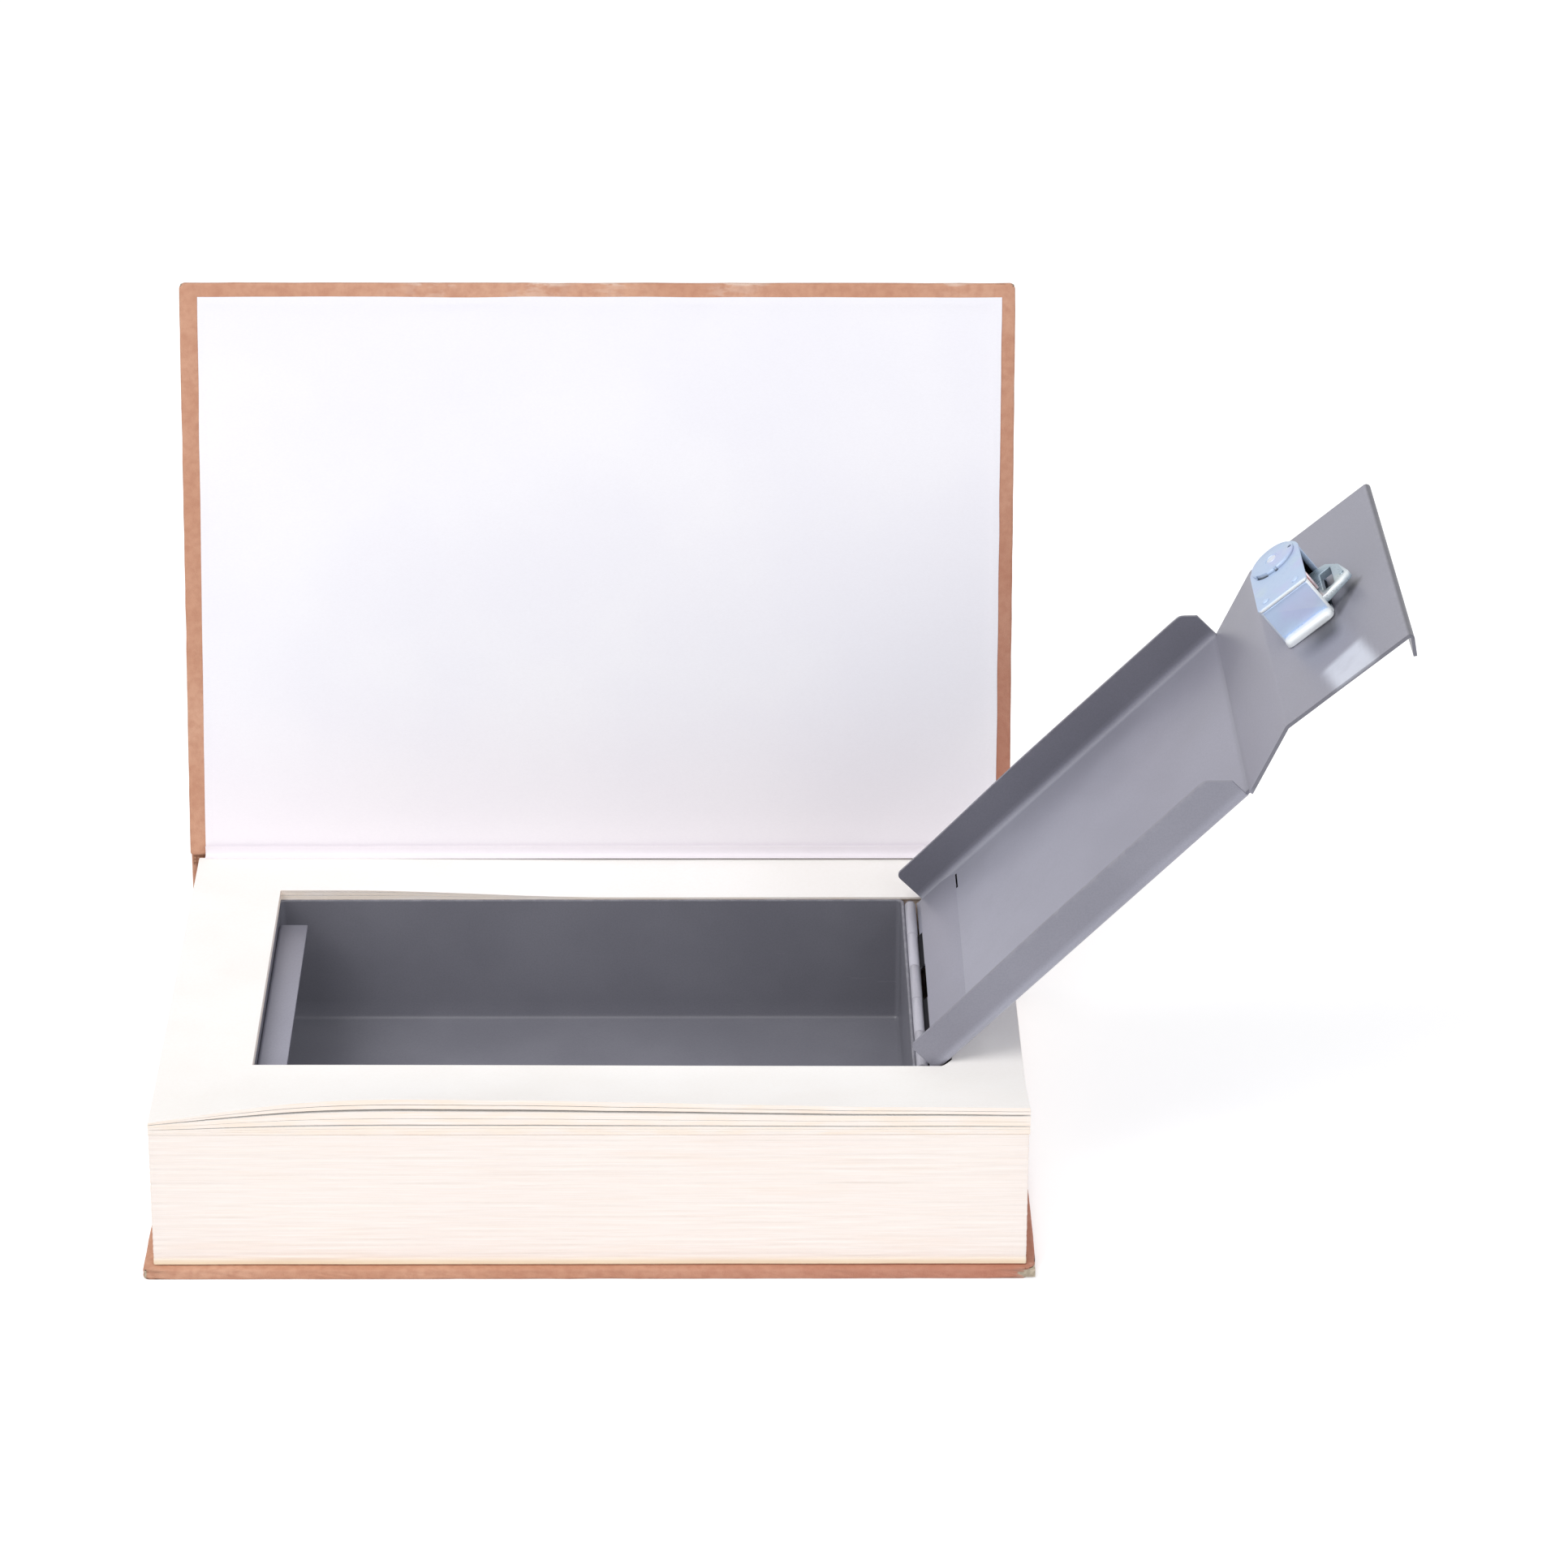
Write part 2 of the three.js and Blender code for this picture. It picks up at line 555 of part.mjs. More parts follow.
// One bundle of frame-shaped leaves whose fore-edge margin curls upwards
function leafBundle(z0, z1, fanBelow, fanAbove) {
  const { xLines, yLines } = leafLines();
  const left = BOX_LEFT_X - LEAF_OPENING_EDGE;
  const front = BOX_FRONT_Y - LEAF_OPENING_EDGE;
  const back = BOX_BACK_Y + LEAF_OPENING_EDGE;
  const filled = (i, j) => {
    if (i < 0 || j < 0 || i >= xLines.length - 1 || j >= yLines.length - 1) {
      return false;
    }
    const x = (xLines[i] + xLines[i + 1]) / 2;
    const y = (yLines[j] + yLines[j + 1]) / 2;
    return !(x > left && x < CUT_RIGHT_X && y > front && y < back);
  };
  const low = (i, j) => [xLines[i], yLines[j], z0 + leafLift(xLines[i], yLines[j], fanBelow)];
  const high = (i, j) => [xLines[i], yLines[j], z1 + leafLift(xLines[i], yLines[j], fanAbove)];
  const points = [];
  const quad = (a, b, c, d) => points.push(...a, ...b, ...c, ...a, ...c, ...d);
  for (let i = 0; i < xLines.length - 1; i += 1) {
    for (let j = 0; j < yLines.length - 1; j += 1) {
      if (!filled(i, j)) {
        continue;
      }
      quad(high(i, j), high(i + 1, j), high(i + 1, j + 1), high(i, j + 1));
      quad(low(i, j), low(i, j + 1), low(i + 1, j + 1), low(i + 1, j));
      if (!filled(i - 1, j)) {
        quad(low(i, j), high(i, j), high(i, j + 1), low(i, j + 1));
      }
      if (!filled(i + 1, j)) {
        quad(low(i + 1, j), low(i + 1, j + 1), high(i + 1, j + 1), high(i + 1, j));
      }
      if (!filled(i, j - 1)) {
        quad(low(i, j), low(i + 1, j), high(i + 1, j), high(i, j));
      }
      if (!filled(i, j + 1)) {
        quad(low(i, j + 1), high(i, j + 1), high(i + 1, j + 1), low(i + 1, j + 1));
      }
    }
  }
  const geometry = new THREE.BufferGeometry();
  geometry.setAttribute('position', new THREE.Float32BufferAttribute(points, 3));
  return geometry;
}

// Steel box

function boxShell() {
  const outer = roundedRectangle(
    BOX_LEFT_X - SHEET,
    BOX_RIGHT_X + SHEET,
    BOX_FRONT_Y - SHEET,
    BOX_BACK_Y + SHEET,
    BOX_CORNER + SHEET,
    BEND_STEPS,
  );
  const inner = roundedRectangle(BOX_LEFT_X, BOX_RIGHT_X, BOX_FRONT_Y, BOX_BACK_Y, BOX_CORNER, BEND_STEPS);
  const body = alongZ(outer, BOX_BASE_Z, RIM_Z);
  const hollow = alongZ(inner, BOX_BASE_Z + SHEET, RIM_Z + SHEET);
  return cutFrom(body, hollow);
}

// Angle strip welded to the end wall: the bolt is thrown under its flat top
function strikeLedge() {
  const middleX = BOX_LEFT_X + SHEET / 2;
  const middleZ = LEDGE_TOP_Z - SHEET / 2;
  const line = [
    [middleX, LEDGE_TOP_Z - LEDGE_LEG],
    [middleX, middleZ],
    [BOX_LEFT_X + LEDGE_REACH, middleZ],
  ];
  return alongY(bentSheet(line, SHEET, SHEET), LEDGE_FRONT_Y, LEDGE_BACK_Y);
}

// Hinge

function knuckleSpan(index) {
  const pitch = (HINGE_END_Y - HINGE_START_Y) / KNUCKLES;
  const from = HINGE_START_Y + pitch * index + (index > 0 ? KNUCKLE_PLAY / 2 : 0);
  const to = HINGE_START_Y + pitch * (index + 1) - (index < KNUCKLES - 1 ? KNUCKLE_PLAY / 2 : 0);
  return [from, to];
}

function boxHingeLeaf() {
  const wallX = BOX_RIGHT_X + SHEET;
  const pieces = [];
  const low = LID_PIVOT_Z - BOX_LEAF_DROP;
  const top = LID_PIVOT_Z - KNUCKLE_RADIUS - KNUCKLE_PLAY;
  pieces.push(slab(wallX, wallX + HINGE_LEAF, HINGE_START_Y, HINGE_END_Y, low, top));
  for (let i = 0; i < KNUCKLES; i += 2) {
    const [from, to] = knuckleSpan(i);
    pieces.push(slab(wallX, wallX + HINGE_LEAF, from, to, top - KNUCKLE_PLAY, LID_PIVOT_Z));
    pieces.push(roundAlongY(KNUCKLE_RADIUS, from, to, ROUND_STEPS, LID_PIVOT_X, LID_PIVOT_Z));
  }
  const outside = HINGE_START_Y - SHEET;
  const bore = roundAlongY(KNUCKLE_BORE, outside, HINGE_END_Y + SHEET, ROUND_STEPS, LID_PIVOT_X, LID_PIVOT_Z);
  return cutFrom(joined(...pieces), bore);
}

function hingePin() {
  const from = HINGE_START_Y - PIN_HEAD;
  const to = HINGE_END_Y + PIN_HEAD;
  const x = LID_PIVOT_X;
  const z = LID_PIVOT_Z;
  return joined(
    roundAlongY(PIN_RADIUS, from, to, ROUND_STEPS, x, z),
    roundAlongY(PIN_HEAD_RADIUS, from - PIN_HEAD, HINGE_START_Y - KNUCKLE_PLAY, ROUND_STEPS, x, z),
    roundAlongY(PIN_HEAD_RADIUS, HINGE_END_Y + KNUCKLE_PLAY, to + PIN_HEAD, ROUND_STEPS, x, z),
  );
}

// Lid. Its pieces are drawn with t as x and h less LID_FACE as z, then placed at the open angle.

function placeOnLid(geometry) {
  const angle = THREE.MathUtils.degToRad(180 - LID_OPEN_DEG);
  const along = new THREE.Vector3(Math.cos(angle), 0, Math.sin(angle));
  const inward = new THREE.Vector3(-Math.sin(angle), 0, Math.cos(angle));
  const frame = new THREE.Matrix4().makeBasis(along, new THREE.Vector3(0, 1, 0), inward);
  frame.setPosition(LID_PIVOT_X, 0, LID_PIVOT_Z);
  return geometry.applyMatrix4(frame);
}

function lidLeaf() {
  const pieces = [];
  const seat = SKIN_GAP - KNUCKLE_RADIUS;
  const start = KNUCKLE_RADIUS + KNUCKLE_PLAY;
  pieces.push(slab(start, LID_LEAF_REACH, HINGE_START_Y, HINGE_END_Y, seat, seat + HINGE_LEAF));
  for (let i = 1; i < KNUCKLES; i += 2) {
    const [from, to] = knuckleSpan(i);
    pieces.push(slab(0, start + KNUCKLE_PLAY, from, to, seat, seat + HINGE_LEAF));
    pieces.push(roundAlongY(KNUCKLE_RADIUS, from, to, ROUND_STEPS, 0, 0));
  }
  const bore = roundAlongY(KNUCKLE_BORE, HINGE_START_Y - SHEET, HINGE_END_Y + SHEET, ROUND_STEPS, 0, 0);
  return placeOnLid(cutFrom(joined(...pieces), bore));
}

function lidChannel(frontY, backY) {
  const inner = SHEET / 2;
  const line = [
    [frontY + inner, LID_FLANGE - LID_FACE],
    [frontY + inner, inner - LID_FACE],
    [backY - inner, inner - LID_FACE],
    [backY - inner, LID_FLANGE - LID_FACE],
  ];
  const channel = alongX(bentSheet(line, LID_BEND, SHEET), LID_START_T, RAMP_START_T);
  const skirt = SHEET - LID_FACE + LID_BEND;
  const rise = LID_FLANGE - LID_FACE;
  const overRim = LID_PIVOT_Z - RIM_Z - FIT_GAP;
  const hingeEnd = slab(
    LID_START_T - SHEET,
    LID_FLANGE_START_T,
    frontY - SHEET,
    backY + SHEET,
    overRim,
    rise + SHEET,
  );
  const far = LID_FLANGE_END_T;
  const corner = [[far + LID_BEND, rise + SHEET], [far - LID_FLANGE_CORNER, rise + SHEET]];
  for (let i = 0; i <= BEND_STEPS; i += 1) {
    const angle = Math.PI / 2 * (1 - i / BEND_STEPS);
    corner.push([
      far - LID_FLANGE_CORNER + LID_FLANGE_CORNER * Math.cos(angle),
      rise - LID_FLANGE_CORNER + LID_FLANGE_CORNER * Math.sin(angle),
    ]);
  }
  corner.push([far, skirt], [far + LID_BEND, skirt]);
  return cutFrom(channel, hingeEnd, alongY(corner, frontY - SHEET, backY + SHEET));
}

// Ramp and lock plate, whose end is folded back as a finger lip
function lidTongue(frontY, backY) {
  const inner = SHEET / 2 - LID_FACE;
  const slope = (RAMP_DEPTH - LID_END_DEPTH) / PLATE_RUN;
  const lipRoot = RAMP_DEPTH - slope * (LIP_CORNER_T - RAMP_END_T) + inner;
  const line = [
    [RAMP_START_T - LID_BEND * 2, inner],
    [RAMP_START_T, inner],
    [RAMP_END_T, RAMP_DEPTH + inner],
    [LIP_CORNER_T, lipRoot],
    [LIP_CORNER_T - LIP_BACK, lipRoot - LIP_HEIGHT],
  ];
  return alongY(bentSheet(line, PLATE_BEND, SHEET, LIP_BEND), frontY, backY);
}

function lidSlots(frontY, backY) {
  const z0 = -LID_FACE - SHEET;
  const z1 = SHEET - LID_FACE + SHEET / 2;
  const half = SLOT_WIDTH / 2;
  const from = frontY + SLOT_FROM_EDGE;
  const to = backY - SLOT_FROM_EDGE;
  return [
    slab(SLOT_T - half, SLOT_T + half, from - SLOT_LENGTH / 2, from + SLOT_LENGTH / 2 - SHEET, z0, z1),
    slab(SLOT_T - half, SLOT_T + half, to - SLOT_LENGTH / 2 + SHEET, to + SLOT_LENGTH / 2, z0, z1),
  ];
}

function lidPanel() {
  const frontY = BOX_FRONT_Y + LID_SIDE_PLAY;
  const backY = BOX_BACK_Y - LID_SIDE_PLAY;
  const whole = joined(lidChannel(frontY, backY), lidTongue(frontY, backY));
  const hole = onPlate(roundSolid(PLATE_HOLE, -BOX_BASE_Z, BOX_BASE_Z, ROUND_STEPS));
  const notch = slab(
    LID_START_T - SHEET,
    LID_NOTCH_T,
    frontY + LID_NOTCH_FROM_EDGE,
    backY - LID_NOTCH_FROM_EDGE,
    -LID_FACE - SHEET,
    SHEET - LID_FACE + SHEET / 2,
  );
  return placeOnLid(cutFrom(whole, hole, notch, ...lidSlots(frontY, backY)));
}

// Lock. Its pieces are drawn on the lock plate: a as x, y across, c as z from the plate's inner face.

function onPlate(geometry) {
  const run = LID_END_T - RAMP_END_T;
  const tilt = Math.atan2(RAMP_DEPTH - LID_END_DEPTH, run);
  const outer = RAMP_DEPTH - (LOCK_T - RAMP_END_T) * Math.tan(tilt);
  const inner = outer + SHEET / 2 + SHEET / 2 / Math.cos(tilt);
  geometry.rotateY(tilt);
  return geometry.translate(LOCK_T, LOCK_Y, inner - LID_FACE + SKIN_GAP);
}

function onLock(geometry) {
  return placeOnLid(onPlate(geometry));
}

// Outline of the lock, square at the near end and round about the plug at the other
function lockOutline(inset) {
  const a = CASE_WIDTH / 2 - inset;
  const near = inset - CASE_REACH;
  const corner = CASE_EDGE;
  const points = [];
  for (let i = 0; i <= BEND_STEPS; i += 1) {
    const angle = Math.PI + Math.PI / 2 * i / BEND_STEPS;
    points.push([corner - a + corner * Math.cos(angle), near + corner + corner * Math.sin(angle)]);
  }
  for (let i = 0; i <= BEND_STEPS; i += 1) {
    const angle = Math.PI * 3 / 2 + Math.PI / 2 * i / BEND_STEPS;
    points.push([a - corner + corner * Math.cos(angle), near + corner + corner * Math.sin(angle)]);
  }
  for (let i = 0; i <= SMALL_STEPS; i += 1) {
    const angle = Math.PI * i / SMALL_STEPS;
    points.push([a * Math.cos(angle), a * Math.sin(angle)]);
  }
  return points;
}

function lockCase() {
  const a = CASE_WIDTH / 2;
  const inner = CASE_WALL - CASE_REACH;
  const body = alongZ(lockOutline(0), 0, CASE_HEIGHT);
  const toeA = a - TOE_INSET;
  const toe = alongZ(
    roundedRectangle(-toeA, toeA, -CASE_REACH - TOE_REACH, inner + TOE_REACH, TOE_CORNER, BEND_STEPS),
    0,
    TOE_HEIGHT,
  );
  const cavity = alongZ(lockOutline(CASE_WALL), CASE_FOOT, CASE_HEIGHT + CASE_WALL);
  const mouth = slab(0, a + CASE_WALL, inner, CASE_MOUTH_Y, CASE_FOOT, CASE_HEIGHT + CASE_WALL);
  const passage = roundSolid(PLATE_HOLE, -SHEET, CASE_FOOT + SHEET / 2, ROUND_STEPS);
  return onLock(cutFrom(joined(body, toe), cavity, mouth, passage));
}

function lockCap() {
  const base = CASE_HEIGHT + SKIN_GAP;
  const top = CASE_HEIGHT + CAP_THICKNESS;
  const plate = alongZ(lockOutline(0), base, top);
  const boss = roundSolid(CAP_BOSS_RADIUS, base, top + CAP_BOSS_HEIGHT, ROUND_STEPS);
  const socket = roundSolid(SPINDLE_RADIUS + SPINDLE_PLAY, CASE_HEIGHT - SHEET, top, ROUND_STEPS);
  return onLock(cutFrom(joined(plate, boss), socket));
}

function capRivet(side) {
  const base = CASE_HEIGHT + CAP_THICKNESS + SKIN_GAP;
  const profile = [new THREE.Vector2(0, 0), new THREE.Vector2(CAP_RIVET_RADIUS, 0)];
  for (let i = 1; i < BEND_STEPS; i += 1) {
    const angle = Math.PI / 2 * i / BEND_STEPS;
    profile.push(new THREE.Vector2(CAP_RIVET_RADIUS * Math.cos(angle), CAP_RIVET_HEIGHT * Math.sin(angle)));
  }
  profile.push(new THREE.Vector2(0, CAP_RIVET_HEIGHT));
  const dome = new THREE.LatheGeometry(profile, SMALL_STEPS).rotateX(Math.PI / 2);
  const solid = geometryOf(solidOf(dome));
  return onLock(solid.translate(side * CAP_RIVET_A, CAP_RIVET_Y, base));
}

function lockBezel() {
  const outer = -SHEET - 2 * SKIN_GAP;
  const ring = roundSolid(BEZEL_RADIUS, outer - BEZEL_HEIGHT, outer, ROUND_STEPS);
  const opening = roundSolid(PLATE_HOLE, outer - 2 * BEZEL_HEIGHT, outer + BEZEL_HEIGHT, ROUND_STEPS);
  return onLock(cutFrom(ring, opening));
}

function lockPlug() {
  const face = -SHEET - BEZEL_HEIGHT - PLUG_PROUD;
  const head = roundSolid(PLUG_RADIUS, face, CRANK_START - FIT_GAP, ROUND_STEPS);
  const end = CASE_HEIGHT + CAP_THICKNESS - FIT_GAP;
  const spindle = roundSolid(SPINDLE_RADIUS, CRANK_START - SPINDLE_FOOT, end, ROUND_STEPS);
  const halfWidth = KEYWAY_WIDTH / 2;
  const halfHeight = KEYWAY_HEIGHT / 2;
  const from = face - SHEET;
  const keyway = slab(-halfHeight, halfHeight, -halfWidth, halfWidth, from, face + KEYWAY_DEPTH);
  return onLock(cutFrom(joined(head, spindle), keyway));
}

function crankPinAt() {
  const angle = THREE.MathUtils.degToRad(CRANK_REST_DEG);
  return [CRANK_THROW * Math.cos(angle), CRANK_THROW * Math.sin(angle)];
}

function lockCrank() {
  const [a, y] = crankPinAt();
  const end = CRANK_START + CRANK_THICKNESS;
  const disc = roundSolid(CRANK_RADIUS, CRANK_START, end, ROUND_STEPS);
  const pin = roundSolid(CRANK_PIN_RADIUS, CRANK_START, CRANK_PIN_END, SMALL_STEPS, a, y);
  const eye = roundSolid(SPINDLE_RADIUS + SPINDLE_PLAY, CRANK_START - SHEET, end + SHEET, ROUND_STEPS);
  return onLock(cutFrom(joined(disc, pin), eye));
}

// Bolt with a bevelled tongue and a window. The crank pin runs in a cross slot in its far edge.
function lockBolt() {
  const z0 = BOLT_START;
  const z1 = BOLT_START + BOLT_THICKNESS;
  const mouthA = CASE_WIDTH / 2;
  const tip = mouthA + BOLT_REACH;
  const outline = [
    [BOLT_INNER_A, BOLT_LOW_Y],
    [mouthA + SHEET, BOLT_LOW_Y],
    [tip - SHEET / 2, BOLT_LOW_Y + TONGUE_SLANT],
    [tip, BOLT_LOW_Y + TONGUE_SLANT + SHEET],
    [tip - BOLT_THICKNESS, BOLT_LOW_Y + TONGUE_BEVEL],
    [tip - TONGUE_SHOULDER + SHEET, BOLT_HIGH_Y - SHEET],
    [mouthA, BOLT_HIGH_Y],
    [BOLT_INNER_A, BOLT_HIGH_Y],
  ];
  const plate = alongZ(outline, z0, z1);
  const [a, y] = crankPinAt();
  const half = CRANK_PIN_RADIUS + BOLT_SLOT_PLAY;
  const slot = slab(a - half, a + half, -CRANK_THROW - half, y + half + SHEET, z0 - SHEET, z1 + SHEET);
  const windowA = mouthA + WINDOW_FROM_CASE;
  const window = slab(
    windowA,
    windowA + WINDOW_WIDTH,
    BOLT_LOW_Y + WINDOW_NEAR,
    BOLT_HIGH_Y - WINDOW_FAR,
    z0 - SHEET,
    z1 + SHEET,
  );
  const pipY = BOLT_LOW_Y + TONGUE_SLANT + 2 * SHEET;
  const pip = roundSolid(BOLT_PIP_RADIUS, z1 - BOLT_PIP_DEPTH, z1 + SHEET, SMALL_STEPS, tip - 2 * SHEET, pipY);
  return onLock(cutFrom(plate, slot, window, pip));
}

// Least gap between neighbouring turns of the wire, measured on the points of its path
function leastTurnGap(points) {
  let least = Infinity;
  points.forEach((point, i) => {
    for (let k = i + SPRING_STEPS_PER_TURN / 2; k < points.length; k += 1) {
      least = Math.min(least, point.distanceTo(points[k]));
    }
  });
  return least - 2 * SPRING_WIRE;
}

function spindleSpring() {
  const steps = SPRING_TURNS * SPRING_STEPS_PER_TURN;
  const points = [];
  for (let i = 0; i <= steps; i += 1) {
    const angle = 2 * Math.PI * i / SPRING_STEPS_PER_TURN;
    const height = SPRING_START + (SPRING_END - SPRING_START) * i / steps;
    points.push(new THREE.Vector3(SPRING_RADIUS * Math.cos(angle), SPRING_RADIUS * Math.sin(angle), height));
  }
  console.log(`spindle_spring least gap ${leastTurnGap(points).toFixed(2)} mm`);
  const section = [];
  for (let i = 0; i < SPRING_SIDES; i += 1) {
    const angle = 2 * Math.PI * i / SPRING_SIDES;
    section.push([SPRING_WIRE * Math.cos(angle), SPRING_WIRE * Math.sin(angle)]);
  }
  const options = { steps, extrudePath: new THREE.CatmullRomCurve3(points), bevelEnabled: false };
  return onLock(new THREE.ExtrudeGeometry(shapeOf(section), options));
}

// Pack of levers that stands over the bolt, just inside the mouth of the case
function boltGuide() {
  const a = CASE_WIDTH / 2 - LEVERS_FROM_MOUTH;
  const near = CASE_WALL + SKIN_GAP - CASE_REACH;
  return onLock(slab(a - LEVERS_THICKNESS, a, near, near + LEVERS_WIDTH, LEVERS_START, CASE_HEIGHT));
}

// Assembly

addPiece('back_board', boardCore(0), 'core');
addPiece('case_covering', backCovering(), 'covering');
addPiece('back_endpaper', boardEndpaper(0, true), 'endpaper');
addPiece('spine_board', spineBoard(), 'core');
addPiece('front_joint_cloth', frontJointCloth(), 'cloth');
addPiece('spine_lining', spineLining(), 'cloth');
addPiece('head_band', endBand(-1), 'band');
addPiece('tail_band', endBand(1), 'band');
addPiece('page_block', pageBlock(), 'leaves');
addPiece('leaves_lower', leafBundle(RIM_Z, LEAF_LOWER_TOP_Z, 0, LEAF_FAN_LOWER), 'leaves');
addPiece(
  'leaves_middle',
  leafBundle(LEAF_LOWER_TOP_Z + LEAF_GAP, LEAF_MIDDLE_TOP_Z, LEAF_FAN_LOWER, LEAF_FAN_MIDDLE),
  'leaves',
);
addPiece(
  'leaves_upper',
  leafBundle(LEAF_MIDDLE_TOP_Z + LEAF_GAP, PAGE_TOP_Z, LEAF_FAN_MIDDLE, LEAF_FAN_UPPER),
  'leaves',
);
addPiece('box_shell', boxShell(), 'boxPaint');
addPiece('strike_ledge', strikeLedge(), 'boxPaint');
addPiece('box_hinge_leaf', boxHingeLeaf(), 'steel');
addPiece('hinge_pin', hingePin(), 'steel');

addPiece('front_board', openCover(boardCore(COVER_CLOSED_Z)), 'core');
addPiece('front_covering', openCover(boardCovering(COVER_CLOSED_Z, false)), 'covering');
addPiece('front_endpaper', openCover(boardEndpaper(COVER_CLOSED_Z, false)), 'endpaper');

addPiece('lid_panel', lidPanel(), 'lidPaint');
addPiece('lid_hinge_leaf', lidLeaf(), 'steel');
addPiece('lock_case', lockCase(), 'zinc');
addPiece('lock_cap', lockCap(), 'zinc');
addPiece('cap_rivet_near', capRivet(-1), 'steel');
addPiece('cap_rivet_far', capRivet(1), 'steel');
addPiece('lock_bezel', lockBezel(), 'zinc');
addPiece('bolt_guide', boltGuide(), 'brass');
addPiece('spindle_spring', spindleSpring(), 'steel');
addPiece('lock_plug', lockPlug(), 'brass');
addPiece('lock_crank', lockCrank(), 'steel');
addPiece('lock_bolt', lockBolt(), 'zinc');

export default group;
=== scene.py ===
"""Looks of a book-shaped safe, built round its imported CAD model. Lengths in the code are millimetres."""

import cmath
import math
from itertools import accumulate

import bmesh
import bpy
from mathutils import Matrix, Vector, noise

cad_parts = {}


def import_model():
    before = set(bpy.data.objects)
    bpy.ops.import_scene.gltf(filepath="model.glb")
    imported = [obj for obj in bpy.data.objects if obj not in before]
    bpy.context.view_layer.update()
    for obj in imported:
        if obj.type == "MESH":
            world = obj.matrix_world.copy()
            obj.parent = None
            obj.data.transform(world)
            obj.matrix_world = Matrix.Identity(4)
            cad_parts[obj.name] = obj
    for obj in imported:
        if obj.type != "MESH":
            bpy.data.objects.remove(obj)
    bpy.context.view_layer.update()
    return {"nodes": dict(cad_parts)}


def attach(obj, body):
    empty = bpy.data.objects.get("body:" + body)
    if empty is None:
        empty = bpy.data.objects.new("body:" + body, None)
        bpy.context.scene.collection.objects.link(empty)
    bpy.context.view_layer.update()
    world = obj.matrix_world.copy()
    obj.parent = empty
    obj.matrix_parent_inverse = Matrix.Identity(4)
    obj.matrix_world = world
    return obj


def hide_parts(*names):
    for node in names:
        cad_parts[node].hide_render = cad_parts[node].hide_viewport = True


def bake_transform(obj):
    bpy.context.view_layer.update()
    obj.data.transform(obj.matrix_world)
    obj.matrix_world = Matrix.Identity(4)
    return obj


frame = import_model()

NODES = frame["nodes"]
MM = 0.001
MERGE = 0.002

# Book
HALF_LENGTH = 120.0
FORE_EDGE_Y = -89.0
SPINE_Y = 89.6
BOARD = 3.0
BOARD_BACK_Y = 79.3
BOARD_Y = (FORE_EDGE_Y, BOARD_BACK_Y)
PAGE_HALF = 117.2
PAGE_FRONT_Y = -86.4
PAGE_BACK_Y = 81.4
PAGE_BASE_Z = 3.25
RIM_Z = 42.5
PAGE_TOP_Z = 45.5
SPINE_TOP_Z = 45.8
PIVOT_Y = 81.06
PIVOT_Z = 44.0
OPEN_DEG = 102.0
CLOSED_Z = 45.8

# Steel box and lid
BOX_X = (-92.0, 87.4)
BOX_Y = (-51.0, 59.0)
SHEET = 1.0
DRAWN_SHEET = 0.98
CUT_RIGHT_X = 98.0
LID_PIVOT = (90.0, 42.0)
LID_OPEN_DEG = 134.8
LID_FACE = 2.6
LID_Y = (-50.5, 58.5)
RAMP_T = (120.0, 140.0)
RAMP_DEPTH = 7.3
LID_END_T = 181.0
LID_END_DEPTH = 3.7
LOCK_T = 154.0
LOCK_Y = 18.0


# Numbers and small curves

def clamp(value, low=0.0, high=1.0):
    return max(low, min(high, value))


def smooth(low, high, value):
    t = clamp((value - low) / (high - low))
    return t * t * (3 - 2 * t)


def mix(a, b, t):
    return a + (b - a) * t


def ripple(x, y=0.0, z=0.0, scale=1.0, seed=0.0):
    return noise.noise(Vector((x / scale + seed, y / scale - seed, z / scale + 0.37 * seed)))


def spread(low, high, count):
    return [mix(low, high, i / (count - 1)) for i in range(count)]


def with_lines(values, extra):
    return sorted(set(round(v, 4) for v in list(values) + list(extra)))


# Meshes

def as_is(x, y, z):
    return (x, y, z)


def link(name, data):
    obj = bpy.data.objects.new(name, data)
    bpy.context.scene.collection.objects.link(obj)
    return obj


def link_bmesh(name, bm, materials):
    mesh = bpy.data.meshes.new(name)
    bm.to_mesh(mesh)
    bm.free()
    for material in materials:
        mesh.materials.append(material)
    return link(name, mesh)


def add_mesh(name, points, faces, material, sharp=35.0):
    mesh = bpy.data.meshes.new(name)
    mesh.from_pydata([(x * MM, y * MM, z * MM) for x, y, z in points], [], faces)
    mesh.materials.append(material)
    return tidy(link(name, mesh), sharp)


def tidy(obj, sharp=35.0):
    """Merges doubles, turns the faces outwards, and shades smoothly except over sharp edges."""
    bm = bmesh.new()
    bm.from_mesh(obj.data)
    bmesh.ops.remove_doubles(bm, verts=bm.verts, dist=MERGE * MM)
    bmesh.ops.recalc_face_normals(bm, faces=bm.faces)
    for face in bm.faces:
        face.smooth = True
    for edge in bm.edges:
        edge.smooth = len(edge.link_faces) != 2 or edge.calc_face_angle(0) < math.radians(sharp)
    bm.to_mesh(obj.data)
    bm.free()
    return obj


def settle(obj, sharp=35.0):
    """Applies the modifiers of a piece."""
    depsgraph = bpy.context.evaluated_depsgraph_get()
    mesh = bpy.data.meshes.new_from_object(obj.evaluated_get(depsgraph))
    old = obj.data
    obj.modifiers.clear()
    obj.data = mesh
    bpy.data.meshes.remove(old)
    return tidy(obj, sharp)


def modify(obj, kind, **settings):
    modifier = obj.modifiers.new(kind, kind)
    for key, value in settings.items():
        setattr(modifier, key, value)


